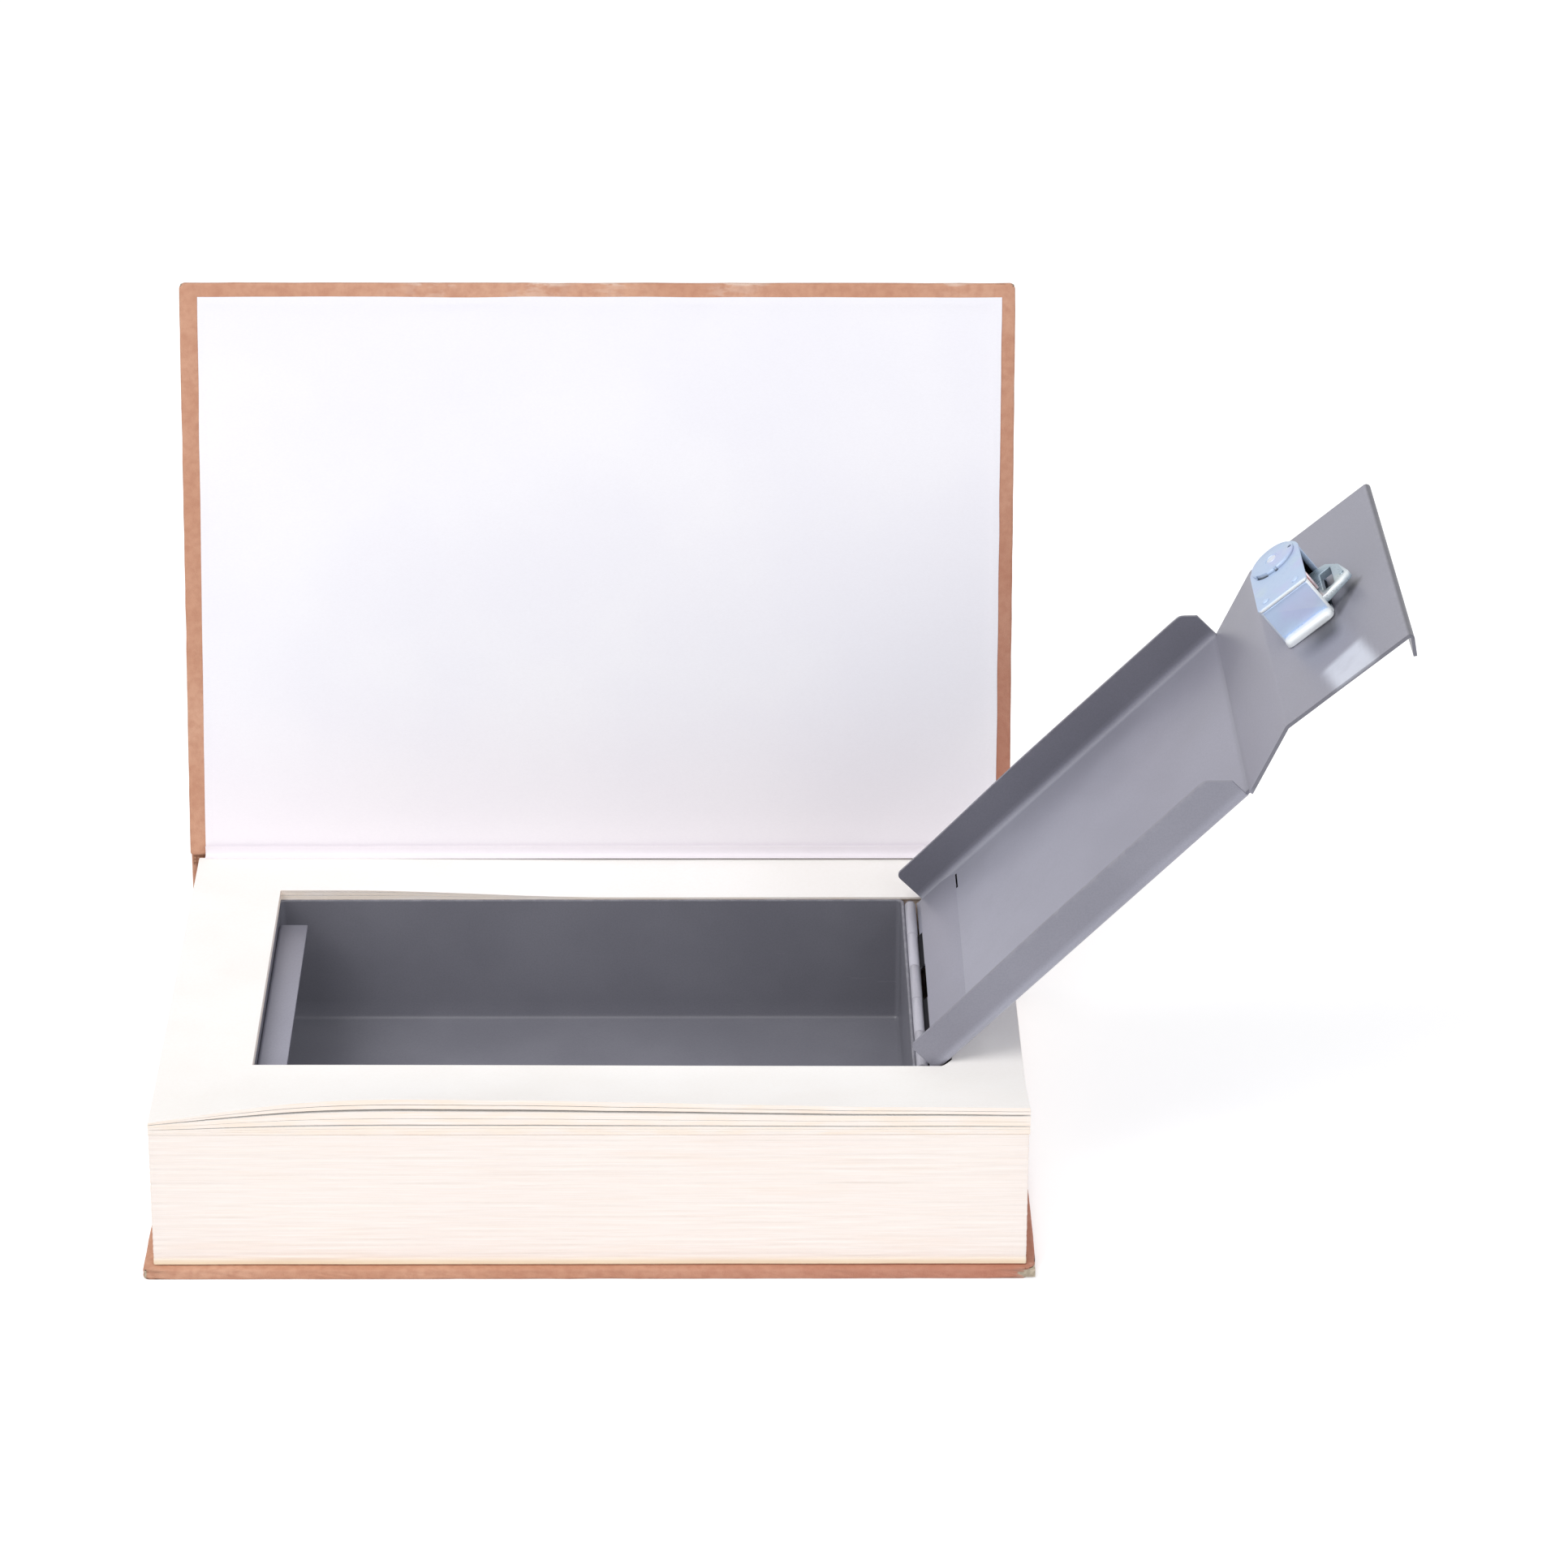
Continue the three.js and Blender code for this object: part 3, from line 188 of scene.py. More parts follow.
def soften(obj, width, segments=2, limit=50.0, sharp=35.0):
    """Rounds the sharp edges of a piece."""
    angle = math.radians(limit)
    modify(obj, "BEVEL", width=width * MM, segments=segments, limit_method="ANGLE", angle_limit=angle)
    return settle(obj, sharp)


def carve(obj, *cutters, sharp=35.0):
    for cutter in cutters:
        modify(obj, "BOOLEAN", operation="DIFFERENCE", solver="EXACT", object=cutter)
    settle(obj, sharp)
    for cutter in cutters:
        bpy.data.objects.remove(cutter)
    return obj


def join(name, *objects):
    """One piece from several. Materials are kept."""
    bm = bmesh.new()
    materials = []
    for obj in objects:
        start = len(bm.faces)
        bm.from_mesh(obj.data)
        bm.faces.ensure_lookup_table()
        slots = list(obj.data.materials)
        for material in slots:
            if material not in materials:
                materials.append(material)
        for face in bm.faces[start:]:
            face.material_index = materials.index(slots[face.material_index])
    for obj in objects:
        bpy.data.objects.remove(obj)
    return link_bmesh(name, bm, materials)


def loft(loops, closed_ends=True):
    """Points and faces through loops, with one face over each end. The first loop sets the count."""
    count = len(loops[0])
    last = (len(loops) - 1) * count
    faces = []
    for start in range(0, last, count):
        for i in range(count):
            j = (i + 1) % count
            faces.append((start + i, start + j, start + count + j, start + count + i))
    if closed_ends:
        faces += [tuple(reversed(range(count))), tuple(range(last, last + count))]
    return [point for loop in loops for point in loop], faces


def lofted(name, loops, material, sharp=35.0):
    points, faces = loft(loops)
    return add_mesh(name, points, faces, material, sharp)


def arc(x, y, radius, start, end, steps):
    """Points round (x, y) from one angle to another, in degrees."""
    angles = [math.radians(mix(start, end, i / steps)) for i in range(steps + 1)]
    return [(x + radius * math.cos(angle), y + radius * math.sin(angle)) for angle in angles]


def ring(radius, count=48, x=0.0, y=0.0):
    return arc(x, y, radius, 0, 360, count)[:-1]


def corner_outline(x0, x1, y0, y1, radii, steps=6, pitch=4.0):
    """Rounded rectangle, anticlockwise from the far right corner, with points along its sides."""
    radii = radii if isinstance(radii, tuple) else (radii,) * 4
    arcs = []
    for k, (x, y, sx, sy) in enumerate(((x1, y1, -1, -1), (x0, y1, 1, -1), (x0, y0, 1, 1), (x1, y0, -1, 1))):
        arcs.append(arc(x + sx * radii[k], y + sy * radii[k], radii[k], 90 * k, 90 * k + 90, steps))
    outline = []
    for k, corner in enumerate(arcs):
        outline += corner
        (xa, ya), (xb, yb) = corner[-1], arcs[(k + 1) % 4][0]
        count = max(1, round((y1 - y0 if k % 2 else x1 - x0) / pitch))
        outline += [(mix(xa, xb, i / count), mix(ya, yb, i / count)) for i in range(1, count)]
    return outline


def plain_corners(x0, x1, y0, y1, radius, steps=3):
    """Rounded rectangle without points along its sides."""
    return corner_outline(x0, x1, y0, y1, radius, steps, math.inf)


def rounded_levels(z0, z1, edge):
    """Insets and heights that round the edges of a slab."""
    return arc(edge, z0 + edge, edge, 270, 180, 5) + arc(edge, z1 - edge, edge, 180, 90, 5)


def slab(name, y_span, z_span, radii, material, place, edge, wave, pitch, seed):
    """Board as long as the book, with rounded edges, whose outline wanders a little."""
    (y0, y1), x1 = y_span, HALF_LENGTH
    loops = []
    for inset, z in rounded_levels(*z_span, edge):
        soft = tuple(max(r - inset, 0.25) for r in radii)
        loop = []
        for x, y in corner_outline(inset - x1, x1 - inset, y0 + inset, y1 - inset, soft, pitch=pitch):
            w = abs(wave * ripple(x, y, z, 14.0, seed) + 0.5 * wave * ripple(x, y, z, 4.0, seed + 3))
            nx = 1 if x > x1 - 2 else -1 if x < 2 - x1 else 0
            ny = 1 if y > y1 - 2 else -1 if y < y0 + 2 else 0
            loop.append(place(x - w * nx, y - w * ny, z))
        loops.append(loop)
    return lofted(name, loops, material)


def drawn(name, outline, span, material, place=as_is, sharp=35.0):
    """An outline in x and z drawn out along y and put in place."""
    return lofted(name, [[place(u, y, v) for u, v in outline] for y in span], material, sharp)


def bent(line, radii, thickness, steps=8):
    """Outline of a bent sheet round its middle line, with an arc at each corner."""
    radii = radii if isinstance(radii, tuple) else (radii,) * (len(line) - 2)
    middle = [(line[0], unit(line[0], line[1]))]
    for before, at, after, radius in zip(line, line[1:], line[2:], radii):
        run = complex(*unit(before, at))
        turn = cmath.phase(complex(*unit(at, after)) / run)
        start = complex(*at) - run * radius * math.tan(abs(turn) / 2)
        to_centre = run * math.copysign(radius, turn) * 1j
        for k in range(steps + 1):
            twist = cmath.exp(1j * turn * k / steps)
            spot, ahead = start + to_centre - to_centre * twist, run * twist
            middle.append(((spot.real, spot.imag), (ahead.real, ahead.imag)))
    middle.append((line[-1], unit(line[-2], line[-1])))
    return both_sides(middle, thickness)


def both_sides(middle, thickness):
    """Outline on both sides of a line of points and directions."""
    half = thickness / 2
    left = [(p[0] - d[1] * half, p[1] + d[0] * half) for p, d in middle]
    right = [(p[0] + d[1] * half, p[1] - d[0] * half) for p, d in middle]
    return left + right[::-1]


def thick_line(line, thickness):
    ahead, behind = line[1:] + line[-1:], line[:1] + line[:-1]
    return both_sides([(p, unit(a, b)) for p, a, b in zip(line, behind, ahead)], thickness)


def unit(a, b):
    dx, dy = b[0] - a[0], b[1] - a[1]
    length = math.hypot(dx, dy)
    return dx / length, dy / length


def turned(name, profile, material, place, count=48, x=0.0, y=0.0):
    """A solid of revolution about the place's third axis, from (radius, height) pairs."""
    rings = [(ring(max(radius, 0.01), count, x, y), height) for radius, height in profile]
    return lofted(name, [[place(u, v, height) for u, v in spots] for spots, height in rings], material)


def tube(name, path, radius, material, sides=10):
    """Round wire along a path of world points in millimetres."""
    loops = []
    normal = Vector((0.3, 0.9, 0.2))
    for i, spot in enumerate(path):
        ahead = (Vector(path[min(i + 1, len(path) - 1)]) - Vector(path[max(i - 1, 0)])).normalized()
        normal = (normal - ahead * normal.dot(ahead)).normalized()
        side = ahead.cross(normal)
        loops.append([tuple(Vector(spot) + (u * normal + v * side)) for u, v in ring(radius, sides)])
    return lofted(name, loops, material, 60.0)


# Places: the opened cover, the opened lid, and the lock plate on the lid

def on_cover(x, y, z):
    c, s = math.cos(math.radians(-OPEN_DEG)), math.sin(math.radians(-OPEN_DEG))
    dy, dz = y - PIVOT_Y, z - PIVOT_Z
    return (x, PIVOT_Y + dy * c - dz * s, PIVOT_Z + dy * s + dz * c)


LID_ANGLE = math.radians(180 - LID_OPEN_DEG)
LID_ALONG = Vector((math.cos(LID_ANGLE), 0, math.sin(LID_ANGLE)))
LID_INWARD = Vector((-math.sin(LID_ANGLE), 0, math.cos(LID_ANGLE)))
LID_ORIGIN = Vector((LID_PIVOT[0], 0, LID_PIVOT[1]))


def on_lid(t, y, h):
    """t along the lid, y across, h from its outer face inwards."""
    spot = LID_ORIGIN + LID_ALONG * t + LID_INWARD * (h - LID_FACE)
    return (spot.x, y, spot.z)


PLATE_TILT = math.atan2(RAMP_DEPTH - LID_END_DEPTH, LID_END_T - RAMP_T[1])
PLATE_ALONG = (LID_ALONG * math.cos(PLATE_TILT) - LID_INWARD * math.sin(PLATE_TILT)).normalized()
PLATE_INWARD = (LID_INWARD * math.cos(PLATE_TILT) + LID_ALONG * math.sin(PLATE_TILT)).normalized()
PLATE_MIDDLE = RAMP_DEPTH - (LOCK_T - RAMP_T[1]) * math.tan(PLATE_TILT)
PLATE_FACE = PLATE_MIDDLE + SHEET / 2 + SHEET / 2 / math.cos(PLATE_TILT)
PLATE_ORIGIN = Vector(on_lid(LOCK_T, LOCK_Y, PLATE_FACE)) + LID_INWARD * 0.03


def on_lock(a, y, c):
    """a along the lock plate, y across from the plug, c from the plate's inner face inwards."""
    spot = PLATE_ORIGIN + PLATE_ALONG * a + PLATE_INWARD * c
    return (spot.x, spot.y + y, spot.z)


# Materials

def srgb(*values):
    out = []
    for v in values:
        v = v / 255
        out.append(v / 12.92 if v <= 0.04045 else ((v + 0.055) / 1.055) ** 2.4)
    return (*out, 1.0)


class Nodes:
    """Makes and links the nodes of one tree."""

    def __init__(self, tree):
        self.tree = tree

    def node(self, kind, **inputs):
        node = self.tree.nodes.new(kind)
        for key, value in inputs.items():
            self.feed(node.inputs[key], value)
        return node

    def feed(self, socket, value):
        if hasattr(value, "is_output"):
            self.tree.links.new(value, socket)
        else:
            socket.default_value = value

    def math(self, operation, *values):
        node = self.node("ShaderNodeMath")
        node.operation = operation
        for socket, value in zip(node.inputs, values):
            self.feed(socket, value)
        return node.outputs[0]

    def times(self, a, b):
        return self.math("MULTIPLY", a, b)

    def most(self, a, b):
        return self.math("MAXIMUM", a, b)

    def span(self, value, low, high, to_low=0.0, to_high=1.0):
        """Maps low..high onto to_low..to_high, smoothly and clamped."""
        ends = {"From Min": low, "From Max": high, "To Min": to_low, "To Max": to_high}
        node = self.node("ShaderNodeMapRange", Value=value, **ends)
        node.interpolation_type = "SMOOTHSTEP"
        return node.outputs["Result"]

    def seen(self):
        """1 for rays that come from the camera, off something glossy or through something clear."""
        rays = self.node("ShaderNodeLightPath").outputs
        return self.most(self.most(rays["Is Camera Ray"], rays["Is Glossy Ray"]), rays["Is Transmission Ray"])


class Look(Nodes):
    """A principled material and the nodes that feed it."""

    def __init__(self, name, **sockets):
        self.material = bpy.data.materials.new(name)
        self.material.use_nodes = True
        super().__init__(self.material.node_tree)
        self.shader = self.tree.nodes["Principled BSDF"]
        self.place = self.node("ShaderNodeTexCoord").outputs["Object"]
        self.shade(**sockets)

    def shade(self, **sockets):
        """Feeds sockets of the shader and gives the material back."""
        for key, value in sockets.items():
            self.feed(self.shader.inputs[key.replace("_", " ")], value)
        return self.material

    def noise(self, size, detail=4.0, stretch=(1, 1, 1), roughness=0.5, distortion=0.0):
        """Noise whose features are about `size` millimetres across."""
        spot = self.node("ShaderNodeMapping", Vector=self.place, Scale=stretch).outputs["Vector"]
        node = self.node(
            "ShaderNodeTexNoise", Vector=spot, Scale=1000 / size, Detail=detail, Roughness=roughness,
            Distortion=distortion)
        return node.outputs["Fac"]

    def cells(self, size):
        """Distance from the edges of cells about `size` millimetres across."""
        node = self.node("ShaderNodeTexVoronoi", Vector=self.place, Scale=1000 / size)
        node.feature = "DISTANCE_TO_EDGE"
        return node.outputs["Distance"]

    def axis(self, name):
        return self.node("ShaderNodeSeparateXYZ", Vector=self.place).outputs[name]

    def attribute(self, name):
        node = self.node("ShaderNodeAttribute")
        node.attribute_name = name
        return node.outputs["Fac"]

    def mix(self, share, a, b):
        node = self.node("ShaderNodeMix")
        node.data_type = "RGBA"
        for index, value in ((0, share), (6, a), (7, b)):
            self.feed(node.inputs[index], value)
        return node.outputs[2]

    def layers(self, tone, *layers):
        """Lays tones over the first one, each by up to its share where its value runs from low to high."""
        base = srgb(*tone)
        for value, low, high, share, tone in layers:
            base = self.mix(self.span(value, low, high, 0.0, share), base, srgb(*tone))
        return base

    def bump(self, height, depth, strength, **under):
        """Bump whose full height stands `depth` millimetres, over another as Normal."""
        node = self.node("ShaderNodeBump", Height=height, Strength=strength, Distance=depth * MM, **under)
        return node.outputs["Normal"]


def scaled(tone, factor):
    return [min(255, v * factor) for v in tone]


def covering_look():
    look = Look("covering_tan", Specular_IOR_Level=0.4)
    fine = look.noise(2.2, 5)
    base = look.layers(
        (198, 147, 120),
        (look.noise(38, 3), 0.35, 0.68, 1.0, (208, 161, 135)),
        (fine, 0.3, 0.75, 0.45, (176, 120, 96)))
    low_down = look.span(look.axis("Z"), 0.2, 0.05, 0.0, 0.62)
    base = look.mix(look.times(look.span(look.axis("X"), -0.06, 0.125), low_down), base, srgb(170, 104, 86))
    flecks = look.span(look.noise(6.5, 4, (1, 2.6, 2.6)), 0.46, 0.56, 0.0, 0.8)
    base = look.mix(look.times(look.attribute("worn"), flecks), base, srgb(236, 222, 210))
    low = look.bump(look.span(look.cells(0.75), 0.0, 0.22), 0.05, 0.5)
    rough = look.span(fine, 0.2, 0.8, 0.5, 0.72)
    return look.shade(Base_Color=base, Roughness=rough, Normal=look.bump(fine, 0.12, 0.35, Normal=low))


def endpaper_look():
    look = Look("endpaper_white", Specular_IOR_Level=0.2)
    broad, fibre = look.noise(60, 3), look.noise(0.7, 5, (1, 2.2, 2.2))
    base = look.layers(
        (243, 242, 249),
        (broad, 0.35, 0.7, 1.0, (247, 246, 251)),
        (look.axis("Z"), 0.105, 0.046, 0.6, (247, 239, 244)),
        (fibre, 0.3, 0.75, 0.12, (226, 222, 228)))
    rough = look.span(fibre, 0.3, 0.7, 0.78, 0.92)
    normal = look.bump(fibre, 0.03, 0.35, Normal=look.bump(broad, 0.5, 0.2))
    return look.shade(Base_Color=base, Roughness=rough, Normal=normal)


LEAF_LINES = (9.0, 2, (0.6, 0.6, 62), 0.6)


def leaf_look():
    """Top faces of the loose leaves, and their warm edges."""
    look = Look("leaf_paper", Specular_IOR_Level=0.15)
    fibre = look.noise(0.8, 5)
    base = look.layers(
        (250, 247, 244),
        (look.noise(45, 3), 0.35, 0.7, 1.0, (254, 252, 250)),
        (fibre, 0.3, 0.75, 0.1, (232, 224, 214)))
    warm = look.layers(
        (252, 240, 228),
        (look.noise(14, 3, (1, 1, 6)), 0.35, 0.65, 1.0, (252, 244, 238)),
        (look.noise(*LEAF_LINES), 0.38, 0.62, 0.3, (240, 218, 198)))
    base = look.mix(look.attribute("rim"), base, warm)
    rough = look.span(fibre, 0.3, 0.7, 0.82, 0.95)
    return look.shade(Base_Color=base, Roughness=rough, Normal=look.bump(fibre, 0.03, 0.3))


def block_look():
    """Stacked leaf edges: fine lines along the block, warmer at its foot and at cut edges."""
    look = Look("leaf_edges", Specular_IOR_Level=0.15)
    lines = look.noise(*LEAF_LINES)
    base = look.layers(
        (250, 241, 236),
        (look.noise(55, 2, (1, 1, 2)), 0.3, 0.7, 1.0, (251, 243, 238)),
        (lines, 0.36, 0.62, 0.22, (236, 216, 200)),
        (look.noise(26, 3, (0.5, 0.5, 5)), 0.55, 0.75, 0.18, (246, 224, 206)),
        (look.axis("Z"), 0.0062, 0.0034, 0.65, (250, 232, 190)))
    base = look.mix(look.times(look.attribute("cut"), 0.8), base, srgb(240, 212, 192))
    # Painted shade in the hollow behind the hinge.
    base = look.mix(look.attribute("deep"), base, srgb(44, 41, 44))
    rough = look.span(lines, 0.3, 0.7, 0.85, 0.97)
    return look.shade(Base_Color=base, Roughness=rough, Normal=look.bump(lines, 0.14, 0.45))


def paint_look(name, tone, patch, roughness, grain=0.45):
    """Powder coat on steel sheet: fine orange peel, faint scratches, paler patches that are mostly a painted
    highlight, and painted shade.
    """
    look = Look(name, Coat_Roughness=0.3)
    peel, broad = look.noise(grain, 3), look.noise(32, 4)
    scratch = look.noise(5.5, 3, (0.5, 9, 3), 0.65, 0.4)
    base = look.layers(
        tone,
        (broad, 0.32, 0.7, 1.0, patch),
        (peel, 0.35, 0.7, 0.14, scaled(tone, 0.72)),
        (scratch, 0.69, 0.78, 0.3, scaled(tone, 1.22)))
    worn = look.times(look.attribute("worn"), look.span(look.noise(3.0, 4), 0.45, 0.6, 0.0, 0.32))
    base = look.mix(worn, base, srgb(190, 190, 199))
    # Paler paint: a painted highlight where a piece marks one.
    paler = look.times(look.attribute("paler"), look.span(look.noise(7.0, 4), 0.2, 0.6, 0.75, 1.0))
    base = look.mix(paler, base, srgb(222, 227, 241))
    # Painted shade, and the slot walls that lie in shade: dark and without shine.
    grime = look.most(look.attribute("grime"), look.attribute("slit"))
    return look.shade(
        Base_Color=look.mix(grime, base, srgb(16, 16, 19)),
        Specular_IOR_Level=look.span(grime, 0.5, 0.95, 0.5, 0.0),
        Coat_Weight=look.span(grime, 0.5, 0.95, 0.12, 0.0),
        Roughness=look.span(broad, 0.3, 0.7, roughness - 0.05, roughness + 0.07),
        Normal=look.bump(peel, 0.035, 0.4, Normal=look.bump(scratch, 0.03, 0.2)))


def zinc_look(name, tone, tint, sheen, roughness=0.26, metal=0.4):
    """Bright zinc plate, with the blue, lilac and pale yellow tints of its passivation."""
    look = Look(name)
    cast = look.noise(1.3, 3)
    base = look.layers(
        tone,
        (look.noise(9.0, 1), 0.42, 0.7, 0.6, tint),
        (look.noise(11.0, 1, (1.2, 0.9, 1.1)), 0.56, 0.72, 0.5, sheen),
        (cast, 0.6, 0.8, 0.12, scaled(tone, 0.72)))
    # Painted highlight where a piece marks one.
    base = look.mix(look.times(look.attribute("bright"), 0.9), base, srgb(246, 250, 251))
    # Painted shade where a piece marks it: dark and without shine.
    grime = look.attribute("grime")
    return look.shade(
        Base_Color=look.mix(grime, base, srgb(18, 20, 24)),
        Specular_IOR_Level=look.span(grime, 0.5, 0.9, 0.6, 0.0),
        Metallic=look.span(grime, 0.5, 0.9, metal, 0.0),
        Roughness=look.span(cast, 0.3, 0.75, roughness - 0.04, roughness + 0.08),
        Normal=look.bump(cast, 0.03, 0.2))


def metal_look(name, tone, patch, roughness, stretch=(1, 1, 1)):
    look = Look(name, Metallic=0.95)
    lines = look.noise(1.2, 4, stretch)
    base = look.layers(
        tone, (look.noise(6, 3), 0.35, 0.7, 1.0, patch), (lines, 0.55, 0.78, 0.3, scaled(tone, 0.7)))
    rough = look.span(lines, 0.3, 0.7, roughness - 0.06, roughness + 0.12)
    return look.shade(Base_Color=base, Roughness=rough, Normal=look.bump(lines, 0.02, 0.5))


def cloth_look(name, tone, dark, size=0.55):
    """Plain weave at thread scale."""
    look = Look(name, Sheen_Weight=0.15)
    threads = []
    for direction in ("X", "Z"):
        wave = look.node("ShaderNodeTexWave", Vector=look.place, Scale=1000 / size / 6, Distortion=0.6)
        wave.bands_direction = direction
        threads.append(wave.outputs["Fac"])
    weave = look.times(*threads)
    base = look.mix(weave, srgb(*dark), srgb(*tone))
    base = look.mix(look.span(look.noise(20, 3), 0.4, 0.7, 0.0, 0.25), base, srgb(*dark))
    rough = look.span(weave, 0.0, 1.0, 0.92, 0.74)
    return look.shade(Base_Color=base, Roughness=rough, Normal=look.bump(weave, 0.08, 0.6))


def greyboard_look():
    look = Look("grey_board", Specular_IOR_Level=0.1)
    fleck, layer = look.noise(0.9, 6), look.noise(7, 3, (0.4, 0.4, 9))
    base = look.layers(
        (168, 156, 138), (fleck, 0.35, 0.7, 1.0, (196, 184, 164)), (layer, 0.5, 0.75, 0.4, (140, 128, 112)))
    rough = look.span(fleck, 0.3, 0.7, 0.88, 0.98)
    return look.shade(Base_Color=base, Roughness=rough, Normal=look.bump(layer, 0.15, 0.5))


def make_looks():
    return {
        "covering": covering_look(),
        "endpaper": endpaper_look(),
        "leaf": leaf_look(),
        "block": block_look(),
        "box": paint_look("box_paint_grey", (141, 141, 152), (148, 148, 159), 0.42),
        "lid": paint_look("lid_paint_grey", (150, 150, 164), (158, 158, 172), 0.4),
        "hinge": paint_look("hinge_paint_grey", (194, 193, 204), (200, 199, 211), 0.4, 0.35),
        "zinc": zinc_look("zinc_blue", (194, 214, 242), (202, 206, 242), (204, 222, 230), 0.42, 0.25),
        "bolt": zinc_look("zinc_bolt", (166, 184, 196), (176, 190, 204), (196, 206, 200), 0.3, 0.45),
        "brass": metal_look("lever_brass", (176, 122, 118), (206, 160, 156), 0.4, (1, 7, 1)),
        # Pale pink zinc post whose light tone is partly a painted highlight.
        "post": zinc_look("zinc_post", (238, 218, 224), (240, 226, 230), (248, 240, 242), 0.34),
        "dull": metal_look("pin_steel_dull", (132, 133, 140), (150, 150, 158), 0.42),
        "plug": metal_look("plug_brass", (198, 160, 96), (214, 178, 112), 0.3),
        "steel": metal_look("pin_steel_bright", (186, 188, 196), (206, 208, 214), 0.28, (1, 6, 1)),
        "cloth": cloth_look("joint_cloth_tan", (206, 160, 132), (160, 112, 88)),
        "band": cloth_look("band_cord", (240, 230, 212), (176, 96, 74), 1.1),
        "core": greyboard_look(),
    }


def set_attribute(obj, name, value_of, local):
    """Stores a point value that a material reads. value_of takes the point as `local` gives it."""
    layer = obj.data.attributes.new(name, "FLOAT", "POINT")
    layer.data.foreach_set("value", [clamp(value_of(*local(*(v.co / MM)))) for v in obj.data.vertices])


def mark_faces(obj, name, picked):
    """Stores 1 on the faces that `picked` takes, and 0 on the others."""
    layer = obj.data.attributes.new(name, "FLOAT", "FACE")
    layer.data.foreach_set("value", [1.0 if picked(face) else 0.0 for face in obj.data.polygons])


def place_piece(obj, body, slot, *nodes, local=as_is, **marks):
    """Stores the marks of a piece, and has it ride on its body in place of its nodes."""
    for name, value_of in marks.items():
        set_attribute(obj, name, value_of, local)
    if nodes:
        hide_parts(*nodes)
    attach(obj, body)


# Book case

BACK_CORNERS = (1.4, 1.2, 1.8, 3.4)
SPINE_CORNERS = (0.9, 0.9, 0.9, 0.9)
COVER_CORNERS = (1.0, 1.0, 1.6, 1.6)


def crushed_corner(x, y, z):
    """The near right corner of the back board is knocked in and frayed."""
    near = smooth(9.0, 0.5, math.hypot(x - HALF_LENGTH, y - FORE_EDGE_Y))
    fray = ripple(x, y, z, 1.7, 5.0)
    return (x - near * (0.7 + 0.6 * fray), y + near * (0.35 + 0.5 * fray), z + near * 0.35 * fray)


def back_case(looks):
    covering = looks["covering"]
    board = slab(
        "board", BOARD_Y, (0.0, BOARD), BACK_CORNERS, covering, crushed_corner,
        edge=0.75, wave=0.22, pitch=1.6, seed=2.0)
    spine = slab(
        "spine", (86.95, SPINE_Y), (0.0, SPINE_TOP_Z), SPINE_CORNERS, covering, as_is,
        edge=0.8, wave=0.12, pitch=2.4, seed=8.0)
    low, high = 0.55, 2.0
    line = [(77.5, low), (80.1, low), (81.6, high), (85.0, high), (86.6, low), (88.6, low)]
    line = bent(line, 0.9, 0.55, 5)
    groove = []
    for x in spread(-HALF_LENGTH + 0.5, HALF_LENGTH - 0.5, 61):
        groove.append([(x, y, z + 0.1 * ripple(x, y, 0, 9.0, 4.0)) for y, z in line])
    skin = join("case_skin", board, spine, lofted("valley", groove, covering, 50.0))
    place_piece(skin, "book", "covering", "case_covering", worn=back_wear)


def back_wear(x, y, z):
    edge = smooth(1.4, 0.2, min(HALF_LENGTH - abs(x), y - FORE_EDGE_Y))
    foot = smooth(0.5, 0.0, z)
    top = smooth(SPINE_TOP_Z - 1.0, SPINE_TOP_Z, z)
    return 0.55 * max(edge * foot, top) + smooth(6.0, 1.0, math.hypot(x - HALF_LENGTH, y - FORE_EDGE_Y)) * 0.4


def front_cover(looks):
    covering, span = looks["covering"], (CLOSED_Z, CLOSED_Z + BOARD)
    skin = slab(
        "cover_skin", BOARD_Y, span, COVER_CORNERS, covering, on_cover,
        edge=0.7, wave=0.3, pitch=1.6, seed=11.0)
    piece = join("cover_skin", skin, turn_in(-1, covering), turn_in(1, covering))
    place_piece(piece, "front_cover", "covering", "front_covering", worn=cover_wear)


def turn_in(side, material):
    """The folded-over strip of covering on the inner face, a little proud of the board."""
    loops = []
    outer = HALF_LENGTH - 0.9
    for y in spread(FORE_EDGE_Y + 0.8, BOARD_BACK_Y - 1.0, 60):
        edge = HALF_LENGTH - 6.4 + 0.35 * ripple(side * 20, y, 0, 11.0, 6.0)
        profile = [(outer, 0.15), (outer - 0.6, -0.05), (edge + 0.3, -0.08)]
        profile += [(edge, 0.02), (edge, 0.25), (outer, 0.35)]
        loops.append([on_cover(side * x, y, CLOSED_Z + z) for x, z in profile])
    return lofted("turn_in", loops, material, 50.0)


CHIPS_X = ((-52.6, -41.0), (-24.7, -8.5), (-1.5, 7.8), (35.7, 47.3), (99.6, 105.4))


def cover_wear(x, y, z):
    """Small chips along the top edge, and rubbed corners."""
    height = (z - PIVOT_Z) / math.sin(math.radians(OPEN_DEG))
    top = smooth(168.4, 169.9, height)
    ends = smooth(1.6, 0.3, HALF_LENGTH - abs(x)) * 0.3
    chips = max(smooth(low - 1.5, low + 1.5, x) * smooth(high + 1.5, high - 1.5, x) for low, high in CHIPS_X)
    return max(0.9 * top * chips, ends * top)


